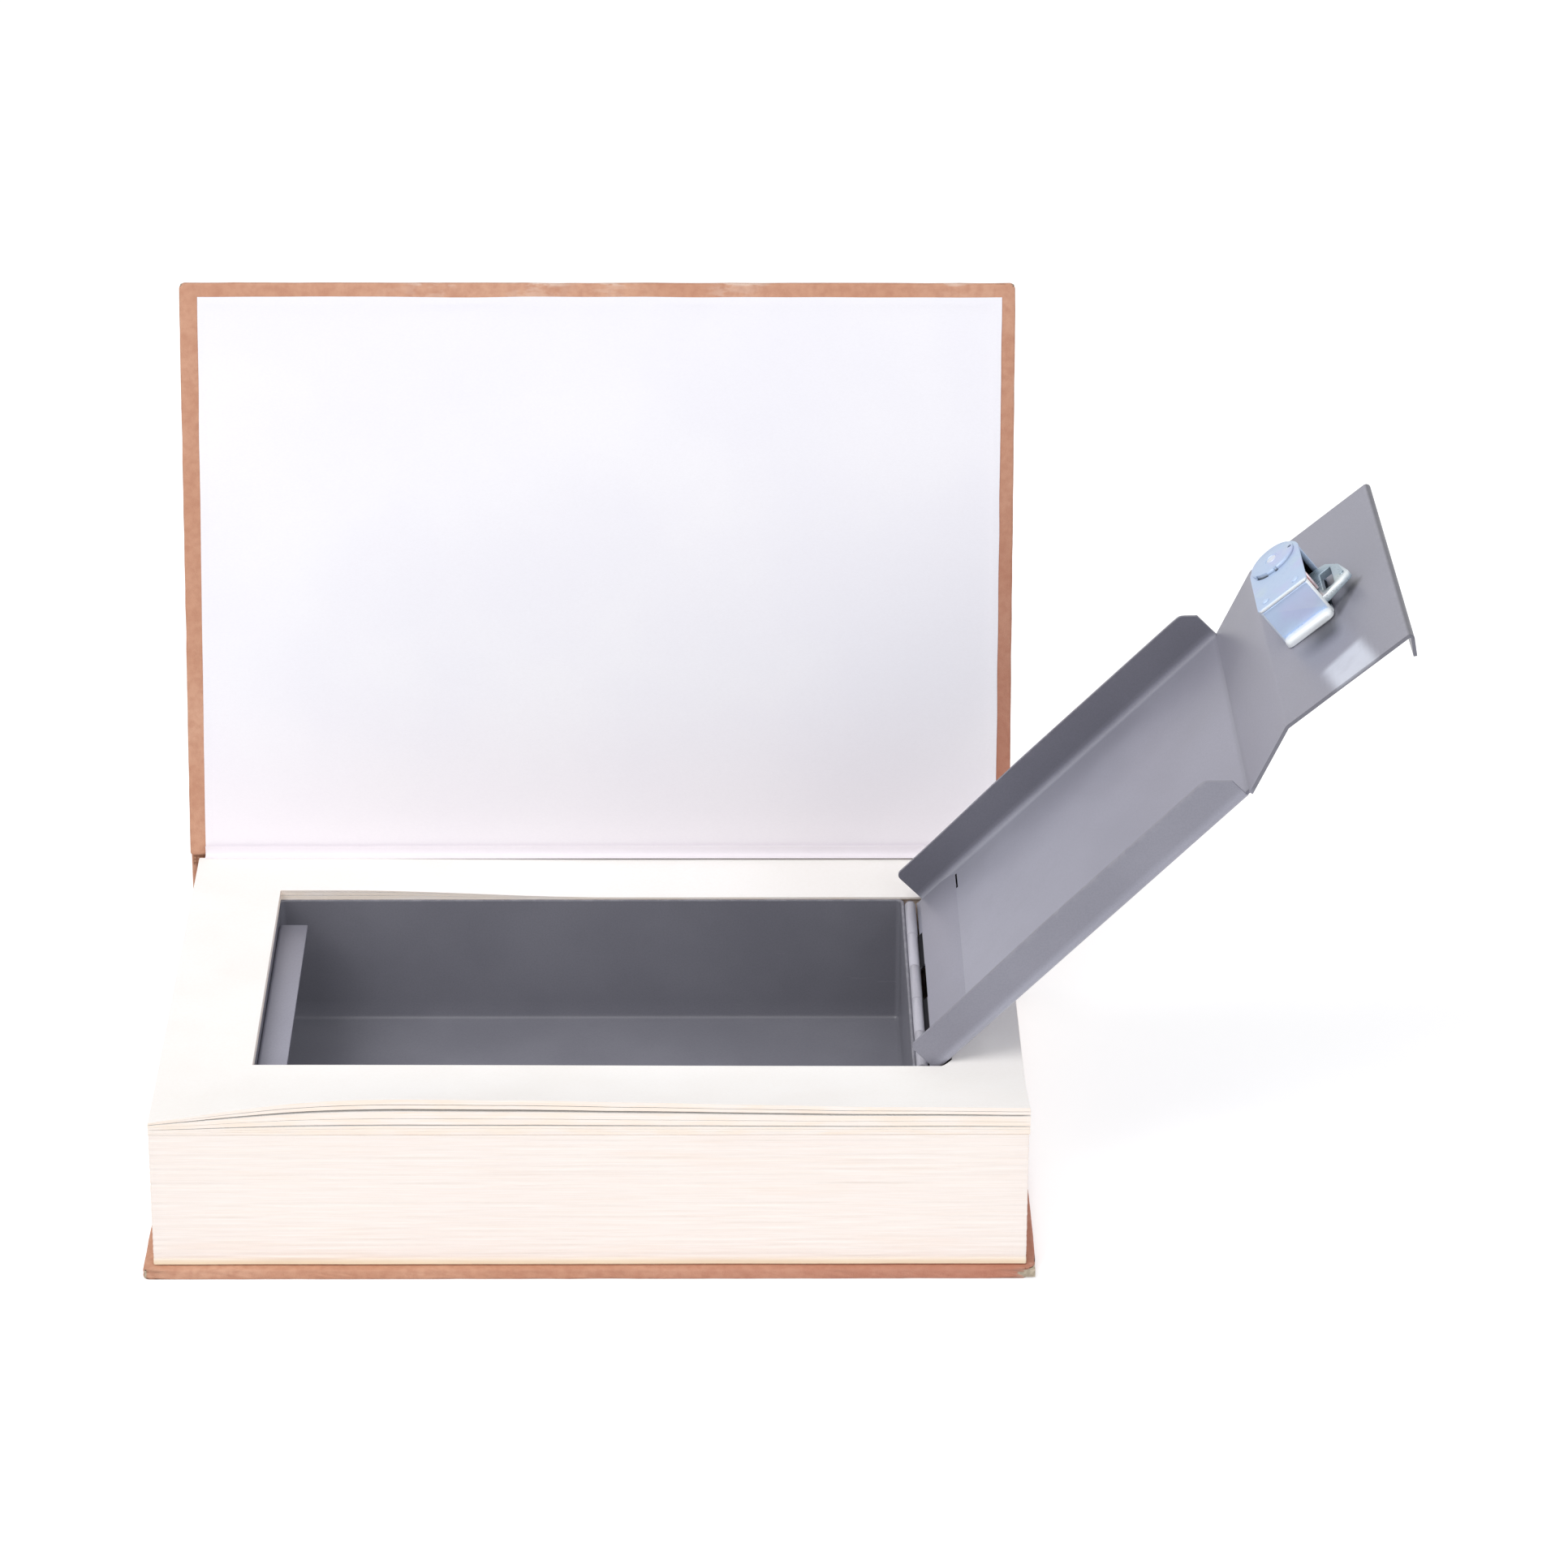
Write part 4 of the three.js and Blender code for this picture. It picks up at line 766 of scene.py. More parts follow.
def pastedown(looks):
    """White endpaper glued over the turn-ins, whose folded edges show through it as a soft ridge."""
    columns = with_lines(spread(-115.6, 116.1, 96), [-114.4, -113.2, 113.4, 114.4])
    rows = spread(FORE_EDGE_Y + 3.9, BOARD_BACK_Y - 1.2, 74)
    rows = with_lines(rows, [FORE_EDGE_Y + 5.2, FORE_EDGE_Y + 6.2])
    x_low, x_high, y_low, y_high = columns[0], columns[-1], rows[0], rows[-1]

    def top(x, y):
        along = (y - y_low) / (y_high - y_low)
        shift_low = mix(0.9, 0.15, along) + 0.18 * ripple(0, y, 0, 17.0, 3.0)
        shift_high = mix(0.0, 0.35, along) + 0.18 * ripple(0, y, 0, 15.0, 7.0)
        px = x + shift_low * smooth(-104, x_low, x) - shift_high * smooth(104, x_high, x)
        py = y + 0.2 * ripple(x, 0, 0, 19.0, 1.0) * smooth(y_low + 12, y_low, y)
        inner = min(px + HALF_LENGTH, HALF_LENGTH - px, py - FORE_EDGE_Y)
        ridge = 0.16 * smooth(6.9, 6.1, inner)
        return px, py, CLOSED_Z - 0.16 - ridge - 0.05 * ripple(px, py, 0, 42.0, 12.0)

    points, faces = sheet_solid([[top(x, y) for y in rows] for x in columns], 0.22)
    piece = add_mesh("pastedown", [on_cover(*p) for p in points], faces, looks["endpaper"], 60.0)
    place_piece(piece, "front_cover", "endpaper", "front_endpaper")


def grid_faces(columns, rows):
    """Faces of a grid whose points run along its rows first."""
    corners = [i * rows + j for i in range(columns - 1) for j in range(rows - 1)]
    return [(a, a + rows, a + rows + 1, a + 1) for a in corners]


def sheet_solid(grid, thickness):
    """Closed sheet: the grid is one face, and the other lies `thickness` above it."""
    columns, rows = len(grid), len(grid[0])
    points = [p for column in grid for p in column]
    points += [(x, y, z + thickness) for x, y, z in points]
    other = columns * rows
    faces = []
    for face in grid_faces(columns, rows):
        faces += [face[::-1], tuple(k + other for k in face)]
    last = other - rows
    rim = list(range(0, other, rows)) + list(range(last + 1, other))
    rim += list(range(last - 1, 0, -rows)) + list(range(rows - 2, 0, -1))
    faces += [(a, b, b + other, a + other) for a, b in zip(rim, rim[1:] + rim[:1])]
    return points, faces


def joint_cloth(looks):
    """Covering that hangs in the groove, from the spine to the outer face of the opened board."""
    line = bent([(87.0, 45.5), (87.0, 41.6), (84.5, 41.6), (84.9, 44.9)], 1.15, 0.4, 7)
    loops = []
    for x in spread(-119.2, 119.2, 70):
        loops.append([(x, y + 0.1 * ripple(x, 0, z, 8.0, 2.0) * smooth(45.0, 42.0, z), z) for y, z in line])
    piece = lofted("joint_strip", loops, looks["cloth"], 60.0)
    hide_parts("front_joint_cloth")
    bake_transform(piece)


def endpaper_hinge(looks):
    """The endpaper bridges from the cover's inner face to the top leaf."""
    curve = smooth_line([(80.7, 45.62), (81.9, 45.66), (82.75, 45.9), (83.0, 46.9), (82.7, 48.6)], 5)
    loops = []
    for x in spread(-115.4, 115.8, 80):
        sway = 0.1 * ripple(x, 0, 0, 16.0, 5.0)
        profile = thick_line([(y, z + sway * smooth(80.7, 82.5, y)) for y, z in curve], 0.16)
        loops.append([(x, y, z) for y, z in profile])
    piece = lofted("endpaper_hinge", loops, looks["endpaper"], 60.0)
    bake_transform(piece)


def smooth_line(points, steps):
    """Curve through the points."""
    padded = [points[0]] + list(points) + [points[-1]]
    curve = []
    for corners in zip(padded, padded[1:], padded[2:], padded[3:]):
        for k in range(steps):
            curve.append(tuple(between(*values, k / steps) for values in zip(*corners)))
    curve.append(points[-1])
    return curve


def between(p, q, r, s, t):
    """A value between q and r, on a curve that also heeds their neighbours."""
    bend = (2 * p - 5 * q + 4 * r - s) * t * t + (3 * q - p - 3 * r + s) * t ** 3
    return 0.5 * (2 * q + (r - p) * t + bend)


# Leaves

OPENING = (-91.9, 98.0, -51.2, 59.2)
OPENING_SLANT = 1.1
CORNER_FILL = 3.0
CURL_END_Y = -53.0
CURL_POWER = 1.5
CREST = 0.27
FAN_BY_HEIGHT = ((RIM_Z, 0.0), (43.8, 1.4), (44.9, 4.6), (PAGE_TOP_Z, 7.6))
SHEETS_IN_BLOCK = 46
CUT_MARK_X = (-94.5, 99.0)
CUT_MARK_Y = (-53.5, 61.5)
HOLLOW_X = (90.0, 99.0)
HOLLOW_BACK_Y = 59.5

# Box, corner radii, points per corner, middle and half size of the block's outside and of its cut-out
BLOCK_SIDES = {
    1: ((-PAGE_HALF, PAGE_HALF, PAGE_FRONT_Y, PAGE_BACK_Y), (0.5,) * 4, 2, (0.0, -2.5), (PAGE_HALF, 83.9)),
    -1: ((-93.3, CUT_RIGHT_X, -52.3, 60.3), (0.4, 0.4, 0.4, CORNER_FILL), 4, (2.3, 4.0), (95.65, 56.3)),
}


def page_block(looks):
    """Glued leaves: each thin layer stands a hair further out or in than its neighbours."""
    outer, inner = [], []
    edges = spread(PAGE_BASE_Z, RIM_Z, SHEETS_IN_BLOCK + 1)
    for k, (z0, z1) in enumerate(zip(edges, edges[1:])):
        step = 0.16 * noise.noise(Vector((k * 7.31, 2.5, 0.5)))
        for z in (z0 + 0.1, (z0 + z1) / 2, z1 - 0.1):
            outer.append(block_loop(z, step, 1))
            inner.append(block_loop(z, step, -1))
    points, faces = loft(outer, closed_ends=False)
    count = len(points)
    more, walls = loft(inner, closed_ends=False)
    faces += [tuple(count + i for i in reversed(face)) for face in walls]
    wall = add_mesh("walls", points + more, faces, looks["block"], 60.0)
    foot = ring_cap(PAGE_BASE_Z + 0.1, outer[0], inner[0], looks)
    top = ring_cap(RIM_Z - 0.1, outer[-1], inner[-1], looks)
    block = tidy(join("page_stack", wall, foot, top), 60.0)
    place_piece(block, "book", "leaves", "page_block", cut=block_cut, deep=block_deep)


def block_cut(x, y, z):
    return 1.0 if CUT_MARK_X[0] < x < CUT_MARK_X[1] and CUT_MARK_Y[0] < y < CUT_MARK_Y[1] else 0.0


def block_deep(x, y, z):
    """The hollow behind the lid's hinge, where little light comes in."""
    within = HOLLOW_X[0] < x < HOLLOW_X[1] and y < HOLLOW_BACK_Y and z < RIM_Z - 0.4
    return 0.92 * smooth(-46.0, -40.0, y) if within else 0.0


def block_loop(z, step, side):
    """Outline of one layer; side 1 is the outside, and -1 the cut-out for the box."""
    box, radii, steps, (x_mid, y_mid), (half_x, half_y) = BLOCK_SIDES[side]
    loop = []
    for x, y in corner_outline(*box, radii, steps, pitch=3.2):
        sway = step + 0.14 * ripple(x, y, z * 3, 30.0, 1.0) + 0.05 * ripple(x, y, z * 9, 5.0, 2.0)
        out = -abs(sway) if side > 0 else sway * 0.4 - 0.05
        out_x = out * smooth(half_x - 1.0, half_x, abs(x - x_mid))
        out_y = out * smooth(half_y - 1.0, half_y, abs(y - y_mid))
        loop.append((x + math.copysign(1, x - x_mid) * out_x, y + math.copysign(1, y - y_mid) * out_y, z))
    return loop


def ring_cap(z, outer, inner, looks):
    """Flat face between two outlines."""
    bm = bmesh.new()
    edges = []
    for loop in (outer, inner):
        verts = [bm.verts.new((x * MM, y * MM, z * MM)) for x, y, _ in loop]
        edges += [bm.edges.new((a, b)) for a, b in zip(verts, verts[1:] + verts[:1])]
    bmesh.ops.triangle_fill(bm, edges=edges, use_beauty=True)
    return link_bmesh("cap", bm, [looks["block"]])


def fan_share(x):
    run = (x + PAGE_HALF) / (2 * PAGE_HALF)
    if run < CREST:
        return 0.06 + 0.94 * math.sin(clamp(run / CREST) * math.pi / 2)
    return 1 - 0.34 * (1 - math.cos(clamp((run - CREST) / (1 - CREST)) * math.pi)) / 2


def fan_at(height):
    for (z0, fan0), (z1, fan1) in zip(FAN_BY_HEIGHT, FAN_BY_HEIGHT[1:]):
        if height <= z1:
            return mix(fan0, fan1, (height - z0) / (z1 - z0))
    return FAN_BY_HEIGHT[-1][1]


def leaf_z(x, y, height):
    """Height of a loose leaf: curled at the fore-edge, pressed down behind the right of the opening."""
    share = (height - RIM_Z) / (PAGE_TOP_Z - RIM_Z)
    reach = clamp((CURL_END_Y - y) / (CURL_END_Y - PAGE_FRONT_Y), 0, 1.03)
    z = height + fan_at(height) * fan_share(x) * reach ** CURL_POWER
    flutter = 0.22 * ripple(x, y, 0, 24.0, 6.0) * reach * share
    pressed = smooth(-75, 5, x) * smooth(90, 60, y) * smooth(OPENING[3] - 1, OPENING[3], y)
    sag = 0.78 * pressed * (z - RIM_Z)
    return z + flutter - sag


def middles(values):
    return [(a + b) / 2 for a, b in zip(values, values[1:])]


def leaf(low_height, high_height, index, looks):
    """A thin bundle of frame-shaped leaves with its own slightly different outline."""
    x_low, x_high, y_low, y_high = OPENING
    fill = spread(x_high - CORNER_FILL, x_high, 5)
    x_lines = with_lines(spread(-PAGE_HALF, PAGE_HALF, 72), [x_low] + fill)
    y_lines = spread(PAGE_FRONT_Y, CURL_END_Y, 12) + spread(CURL_END_Y, y_high, 20)
    y_lines = with_lines(y_lines + spread(y_high, PAGE_BACK_Y, 8), [y_low, y_high])
    jog = abs(0.3 * noise.noise(Vector((index * 3.7, 1.5, 0.2))))
    end_jog = abs(0.3 * noise.noise(Vector((index * 5.1, 7.5, 1.2))))

    def spot(x, y, height):
        front = smooth(y_low - 3, PAGE_FRONT_Y, y)
        right = smooth(x_high + 4, PAGE_HALF, x)
        left = smooth(x_low - 4, -PAGE_HALF, x)
        wander = 0.1 * ripple(x, index * 3.0, 0, 12.0, 3.0)
        slant = OPENING_SLANT * smooth(x_low, x_high, x) - 4.0 * clamp((x - fill[0]) / CORNER_FILL) ** 1.4
        slant *= smooth(1.7, 0.0, abs(y - y_low)) if x <= x_high else 0.0
        px = x - right * (end_jog - 0.25 * front) + left * end_jog
        return (px, y + front * (jog + wander) - slant, leaf_z(x, y, height))

    cells = {}
    for i, x in enumerate(middles(x_lines)):
        for j, y in enumerate(middles(y_lines)):
            if not (x_low < x < x_high and y_low < y < y_high):
                cells[i, j] = i * len(y_lines) + j
    points = [spot(x, y, height) for height in (low_height, high_height) for x in x_lines for y in y_lines]
    other = len(points) // 2
    faces = []
    for (i, j), a in cells.items():
        b, d = a + len(y_lines), a + 1
        c = b + 1
        faces += [(a + other, b + other, c + other, d + other), (a, d, c, b)]
        sides = ((a, b, (i, j - 1)), (b, c, (i + 1, j)), (c, d, (i, j + 1)), (d, a, (i - 1, j)))
        faces += [(p, q, q + other, p + other) for p, q, neighbour in sides if neighbour not in cells]
    return add_mesh("leaf", points, faces, looks["leaf"], 50.0)


STACKS = {
    "lower": (RIM_Z, 42.98, 43.4, 43.8),
    "middle": (43.9, 44.36, 44.9),
    "upper": (45.0, 45.22, PAGE_TOP_Z),
}


def loose_leaves(looks):
    """Three stacks of thin bundles. The upright faces are the cut edges of the leaves."""
    for level, heights in STACKS.items():
        leaves = [leaf(low + 0.01, high - 0.02, 10 * low, looks) for low, high in zip(heights, heights[1:])]
        stack = tidy(join("leaf_stack_" + level, *leaves), 50.0)
        mark_faces(stack, "rim", lambda face: abs(face.normal.z) < 0.6)
        place_piece(stack, "book", "leaves", "leaves_" + level)


def bands(looks):
    """Corded head and tail bands at the back of the block."""
    for side, node in ((-1, "head_band"), (1, "tail_band")):
        heights = spread(PAGE_BASE_Z + 0.7, RIM_Z - 0.7, 60)
        path = [(side * (PAGE_HALF + 0.15), PAGE_BACK_Y - 1.2, z) for z in heights]
        place_piece(tube(node + "_cord", path, 0.8, looks["band"], sides=12), "book", "band", node)


# Steel box

def box_shell(looks):
    """Folded box with rounded corners, a rounded foot and a slightly rolled rim."""
    floor = PAGE_BASE_Z + SHEET
    levels = arc(1.3, PAGE_BASE_Z + 1.3, 1.3, 270, 180, 4)
    levels += [(0.0, z) for z in spread(PAGE_BASE_Z + 3, RIM_Z - 0.6, 9)]
    levels += arc(0.5, RIM_Z - 0.5, 0.5, 180, 0, 6)
    levels += [(1.0, z) for z in spread(RIM_Z - 0.8, floor + 1.4, 9)]
    levels += arc(2.2, floor + 1.2, 1.2, 180, 270, 5)[1:]
    loops = []
    for inset, z in levels:
        grown, radius = SHEET - inset, max(2.6 - inset, 0.5)
        sides = (BOX_X[0] - grown, BOX_X[1] + grown, BOX_Y[0] - grown, BOX_Y[1] + grown)
        loops.append([(x, y, z) for x, y in corner_outline(*sides, radius, pitch=9.0)])
    shell = lofted("box_shell_formed", loops, looks["box"], 40.0)
    place_piece(shell, "book", "box_paint", "box_shell", worn=rim_wear, grime=box_grime)


def box_grime(x, y, z):
    # Painted shade: darker low in the corners of the box, and on its walls, most at the left end.
    corner = min(x - BOX_X[0], BOX_X[1] - x, y - BOX_Y[0], BOX_Y[1] - y)
    wall = mix(0.4, 0.3, smooth(-92, -60, x)) * smooth(4.6, 7.0, z)
    return max(0.35 * smooth(2.4, 0.4, corner) * smooth(8.0, 4.4, z), wall)


def rim_wear(x, y, z):
    return smooth(RIM_Z - 0.7, RIM_Z - 0.1, z)


def strike_ledge(looks):
    line = [(BOX_X[0] + 0.5, 29.6), (BOX_X[0] + 0.5, 38.1), (BOX_X[0] + 8.3, 38.1)]
    strip = drawn("ledge_strip", bent(line, 0.6, DRAWN_SHEET), (-42.0, 50.5), looks["lid"], sharp=30.0)
    soften(strip, 0.2, limit=40)
    # Painted shade: the ledge grows darker towards the back.
    place_piece(strip, "book", "box_paint", "strike_ledge", grime=lambda x, y, z: 0.3 * smooth(-20, 50, y))


# Hinge: rolled knuckles on both leaves, a pin with domed heads

KNUCKLE_MIDDLE = 1.2
LEAF_SHEET = 0.78
HINGE_Y = (-47.6, 55.6)
KNUCKLES = 5
KNUCKLE_PITCH = (HINGE_Y[1] - HINGE_Y[0]) / KNUCKLES
KNUCKLE_GAP = 0.08
ROLL_DEG = 318


def knuckle_span(index):
    low = HINGE_Y[0] + KNUCKLE_PITCH * index + (KNUCKLE_GAP if index else 0.0)
    high = HINGE_Y[0] + KNUCKLE_PITCH * (index + 1) - (KNUCKLE_GAP if index < KNUCKLES - 1 else 0.0)
    return low, high


def knuckles(first, flat_from, start, centre, looks, place=as_is):
    """Every other knuckle: a strip that runs straight from a point and then rolls round the pin."""
    roll = arc(*centre, KNUCKLE_MIDDLE, start, start - ROLL_DEG, 28)
    flat = [tuple(mix(a, b, k / 6) for a, b in zip(flat_from, roll[0])) for k in range(6)]
    outline = thick_line(flat + roll, LEAF_SHEET)
    parts = []
    for index in range(first, KNUCKLES, 2):
        part = drawn("knuckle", outline, knuckle_span(index), looks["hinge"], place, 40.0)
        parts.append(soften(part, 0.1, limit=60, sharp=40))
    return parts


def box_leaf(looks):
    near, far = BOX_X[1] + SHEET + 0.02, BOX_X[1] + SHEET + 0.8
    plate = drawn("leaf", [(near, 29.0), (far, 29.0), (far, 40.1), (near, 40.1)], HINGE_Y, looks["hinge"])
    rolls = knuckles(0, (LID_PIVOT[0] - KNUCKLE_MIDDLE, 39.9), 180, LID_PIVOT, looks)
    piece = join("box_hinge_leaf_rolled", soften(plate, 0.15, limit=40), *rolls)
    place_piece(
        piece, "book", "hinge_paint", "box_hinge_leaf",
        worn=lambda x, y, z: 0.35 * smooth(0.25, 0.0, knuckle_end(y)),
        # painted shade in the gaps between the knuckles
        grime=lambda x, y, z: 0.25 * smooth(0.3, 0.05, knuckle_end(y)))


def knuckle_end(y):
    share = (y - HINGE_Y[0]) / KNUCKLE_PITCH
    return abs(share - round(share)) * KNUCKLE_PITCH


def lid_place(t, y, z):
    return on_lid(t, y, z + LID_FACE)


def lid_leaf(looks):
    seat = -1.7
    top = seat + LEAF_SHEET + 0.13
    outline = [(3.3, seat), (16.5, seat), (15.9, -1.53), (15.0, -1.27), (13.6, -1.01)]
    outline += [(11.8, top), (3.3, top)]
    flap = drawn("flap", outline, spread(*HINGE_Y, 24), looks["lid"], lid_place)
    rolls = knuckles(1, (3.6, -KNUCKLE_MIDDLE), -90, (0, 0), looks, lid_place)
    piece = join("lid_hinge_leaf_rolled", flap, *rolls)
    place_piece(piece, "lid", "hinge_paint", "lid_hinge_leaf", local=lid_local, grime=slot_grime)


def slot_grime(t, y, h):
    # Painted shade in the slot beside the knuckles, and on the flap under the far flange.
    slot = 0.96 * smooth(0.6, 1.1, t) * smooth(3.28, 3.2, t) * smooth(-0.5, -0.7, h - LID_FACE)
    return max(slot, panel_shade(t, y) if t > 3.2 else 0.0)


def panel_shade(t, y):
    """Dimmer towards the far flange, most of all at the hinge."""
    return smooth(30.0, 55.0, y) * mix(0.2, 0.09, smooth(6, 40, t))


def hinge_pin(looks):
    place = lambda u, v, height: (LID_PIVOT[0] + u, height, LID_PIVOT[1] + v)
    head = [(0, 1.2), (0.8, 1.15), (1.25, 0.95), (1.5, 0.6), (1.5, 0.27), (0.8, 0.25)]
    profile = [(r, HINGE_Y[0] - d) for r, d in head] + [(r, HINGE_Y[1] + d) for r, d in head[::-1]]
    pin = turned("hinge_pin_domed", profile, looks["dull"], place, 32)
    place_piece(pin, "book", "pin_steel", "hinge_pin")


# Lid, one bent sheet

LID_START_T = 1.3
LIP_T = LID_END_T + 0.4
LIP = (3.7, 5.3)
FLANGE_START = 3.5
FLANGE_FOOT = 0.9
FLANGE_BEND = 1.8
FLAT_Y = (LID_Y[0] + 0.5 + FLANGE_BEND, LID_Y[1] - 0.5 - FLANGE_BEND)
FLANGE_ROWS = 15
FOOT_ROWS = 4
NEAR_FLANGE = (-1, 119.0, 12.0, 5.4)
FAR_FLANGE = (1, 120.2, 12.7, 3.6)
NOTCH_T = 3.3
NOTCH_Y = (-28.0, 36.0)
LINES_BY_HINGE = (2.0, 2.7, NOTCH_T, FLANGE_START, 3.6, 3.8, 4.1, 4.5, 5.0, 5.5, 5.9)
SLOT_T = 16.8
SLOT_HALF = 0.32


def lid_profile():
    """Middle line of panel, ramp, plate and lip, as (t, h)."""
    half = SHEET / 2
    root = RAMP_DEPTH - (LIP_T - RAMP_T[1]) * math.tan(PLATE_TILT) + half
    corners = [(LID_START_T, half), (RAMP_T[0], half), (RAMP_T[1], RAMP_DEPTH + half), (LIP_T, root)]
    corners.append((LIP_T - LIP[0], root - LIP[1]))
    outline = bent(corners, (1.9, 1.9, 0.75), 0.001, 7)
    return outline[: len(outline) // 2]


def along_line(line, totals, distance):
    for k in range(len(line) - 1):
        if distance <= totals[k + 1] or k == len(line) - 2:
            share = (distance - totals[k]) / max(totals[k + 1] - totals[k], 1e-9)
            return tuple(mix(a, b, share) for a, b in zip(line[k], line[k + 1]))


def flange_top(t, end, height, corner):
    """Free edge of a flange: rounded at the hinge, and cut off slantwise at the ramp."""
    rounding = 1.5
    height -= 0.9 * smooth(60, 4, t)
    if t < FLANGE_START + rounding:
        d = rounding - (t - FLANGE_START)
        return height - rounding + math.sqrt(max(rounding ** 2 - d * d, 0))
    d = t - (end - corner)
    return height - (d + math.hypot(d, 0.7)) / 2


def flange_point(t, h, side, row, top):
    """Row 0 is the panel's edge. Then come the bend's foot, which runs past the hinge, and the flange."""
    bend = FLANGE_BEND
    quarter = bend * math.pi / 2
    foot = bend * math.acos(1 - (FLANGE_FOOT - SHEET / 2) / bend)
    share = (row - FOOT_ROWS) / (FLANGE_ROWS - FOOT_ROWS)
    whole = quarter + top - SHEET / 2 - bend
    run = foot * row / FOOT_ROWS if row <= FOOT_ROWS else mix(foot, whole, share ** 1.6)
    edge = FLAT_Y[side > 0]
    if run < quarter:
        angle = run / bend
        return on_lid(t, edge + side * bend * math.sin(angle), h + bend * (1 - math.cos(angle)))
    rise = run - quarter
    lean = 0.012 * rise * ripple(t, side * 9, 0, 38.0, 4.0)
    return on_lid(t, edge + side * (bend + lean), h + bend + rise)


def lid_sheet(looks):
    line = lid_profile()
    totals = [0.0, *accumulate(math.dist(a, b) for a, b in zip(line, line[1:]))]
    starts = [t - LID_START_T for t in LINES_BY_HINGE]
    corners = []
    for _, end, _, corner in (NEAR_FLANGE, FAR_FLANGE):
        corners += spread(end - corner - 1.2 - LID_START_T, end - LID_START_T, 10)
    stations = with_lines(spread(6.0, 112.0, 36), starts + corners + [0.0] + [d for d in totals if d > 100])
    stations = with_lines(stations, spread(119.5, totals[-1], 58))
    flat_low, flat_high = FLAT_Y
    across = with_lines(spread(flat_low, 6.0, 36), spread(6.0, flat_high, 18))
    outer = [LID_Y[0] + 0.02, LID_Y[0] + 0.4, LID_Y[1] - 0.4, LID_Y[1] - 0.02]
    columns = with_lines(across, list(NOTCH_Y) + outer)
    points, faces, index = [], [], {}

    def vert(key, spot):
        if key not in index:
            index[key] = len(points)
            points.append(spot)
        return index[key]

    def skin_point(s, y):
        t, h = along_line(line, totals, s)
        inland = smooth(0, 10, min(y - flat_low, flat_high - y)) if t < 150 else 1.0
        dish = 0.12 * ripple(t, y, 0, 60.0, 3.0) * inland
        return on_lid(t, y, h + dish * smooth(4, 20, t) * smooth(176, 160, t))

    for s0, s1 in zip(stations, stations[1:]):
        t_mid = along_line(line, totals, (s0 + s1) / 2)[0]
        for y0, y1 in zip(columns, columns[1:]):
            y_mid = (y0 + y1) / 2
            bend = not flat_low < y_mid < flat_high and t_mid < RAMP_T[0] + 0.2
            notch = t_mid < NOTCH_T and NOTCH_Y[0] < y_mid < NOTCH_Y[1]
            if not bend and not notch:
                quad = ((s0, y0), (s1, y0), (s1, y1), (s0, y1))
                faces.append(tuple(vert(corner, skin_point(*corner)) for corner in quad))
    for side, end, height, corner in (NEAR_FLANGE, FAR_FLANGE):
        runs = [s for s in stations if s <= end - LID_START_T + 1e-3]
        for s0, s1 in zip(runs, runs[1:]):
            started = (s0 + s1) / 2 + LID_START_T > FLANGE_START
            for k in range(FLANGE_ROWS if started else FOOT_ROWS):
                quad = []
                for s, row in ((s0, k), (s1, k), (s1, k + 1), (s0, k + 1)):
                    t, h = along_line(line, totals, s)
                    spot = flange_point(t, h, side, row, flange_top(t, end, height, corner))
                    quad.append(vert((s, side, row), spot))
                faces.append(tuple(quad) if side < 0 else tuple(reversed(quad)))
    panel = add_mesh("sheet", points, faces, looks["lid"], 60.0)
    modify(panel, "SOLIDIFY", thickness=DRAWN_SHEET * MM, offset=0.0, use_even_offset=True)
    return settle(panel, 40.0)


def lock_prism(outline, low, high, material):
    """An outline on the lock plate drawn out between two heights."""
    return lofted("prism", [[on_lock(u, v, c) for u, v in outline] for c in (low, high)], material)


PLUG_HOLE = 5.1
SPINDLE_HOLE = 2.46
SLOTS_Y = ((-46.5, -37.5), (45.5, 54.5))


def in_slot(face):
    """Picks the cut walls of the two slots, which lie in the dark."""
    t, y, _ = lid_local(*(face.center / MM))
    upright = abs(face.normal.dot(LID_INWARD)) < 0.5
    return upright and abs(t - SLOT_T) < 0.5 and (y < -37 or y > 45)


def lid_panel(looks):
    paint = looks["lid"]
    cutters = [lock_prism(ring(PLUG_HOLE), -3.0, 1.0, paint)]
    for span in SLOTS_Y:
        outline = plain_corners(SLOT_T - SLOT_HALF, SLOT_T + SLOT_HALF, *span, 0.1, 1)
        cutters.append(lofted("slot", [[on_lid(t, y, h) for t, y in outline] for h in (-1.5, 2.4)], paint))
    panel = lid_sheet(looks)
    piece = tidy(join("lid_sheet_bent", carve(panel, *cutters, sharp=40.0)), 40.0)
    mark_faces(piece, "slit", in_slot)
    marks = {"worn": lid_wear, "grime": lid_grime, "paler": lid_paler}
    place_piece(piece, "lid", "lid_paint", "lid_panel", local=lid_local, **marks)


def lid_local(x, y, z):
    offset = Vector((x, 0, z)) - LID_ORIGIN
    return offset.dot(LID_ALONG), y, offset.dot(LID_INWARD) + LID_FACE


def lid_wear(t, y, h):
    return 0.6 * smooth(11.4, 12.0, h) + 0.3 * smooth(178.5, 180.5, t)


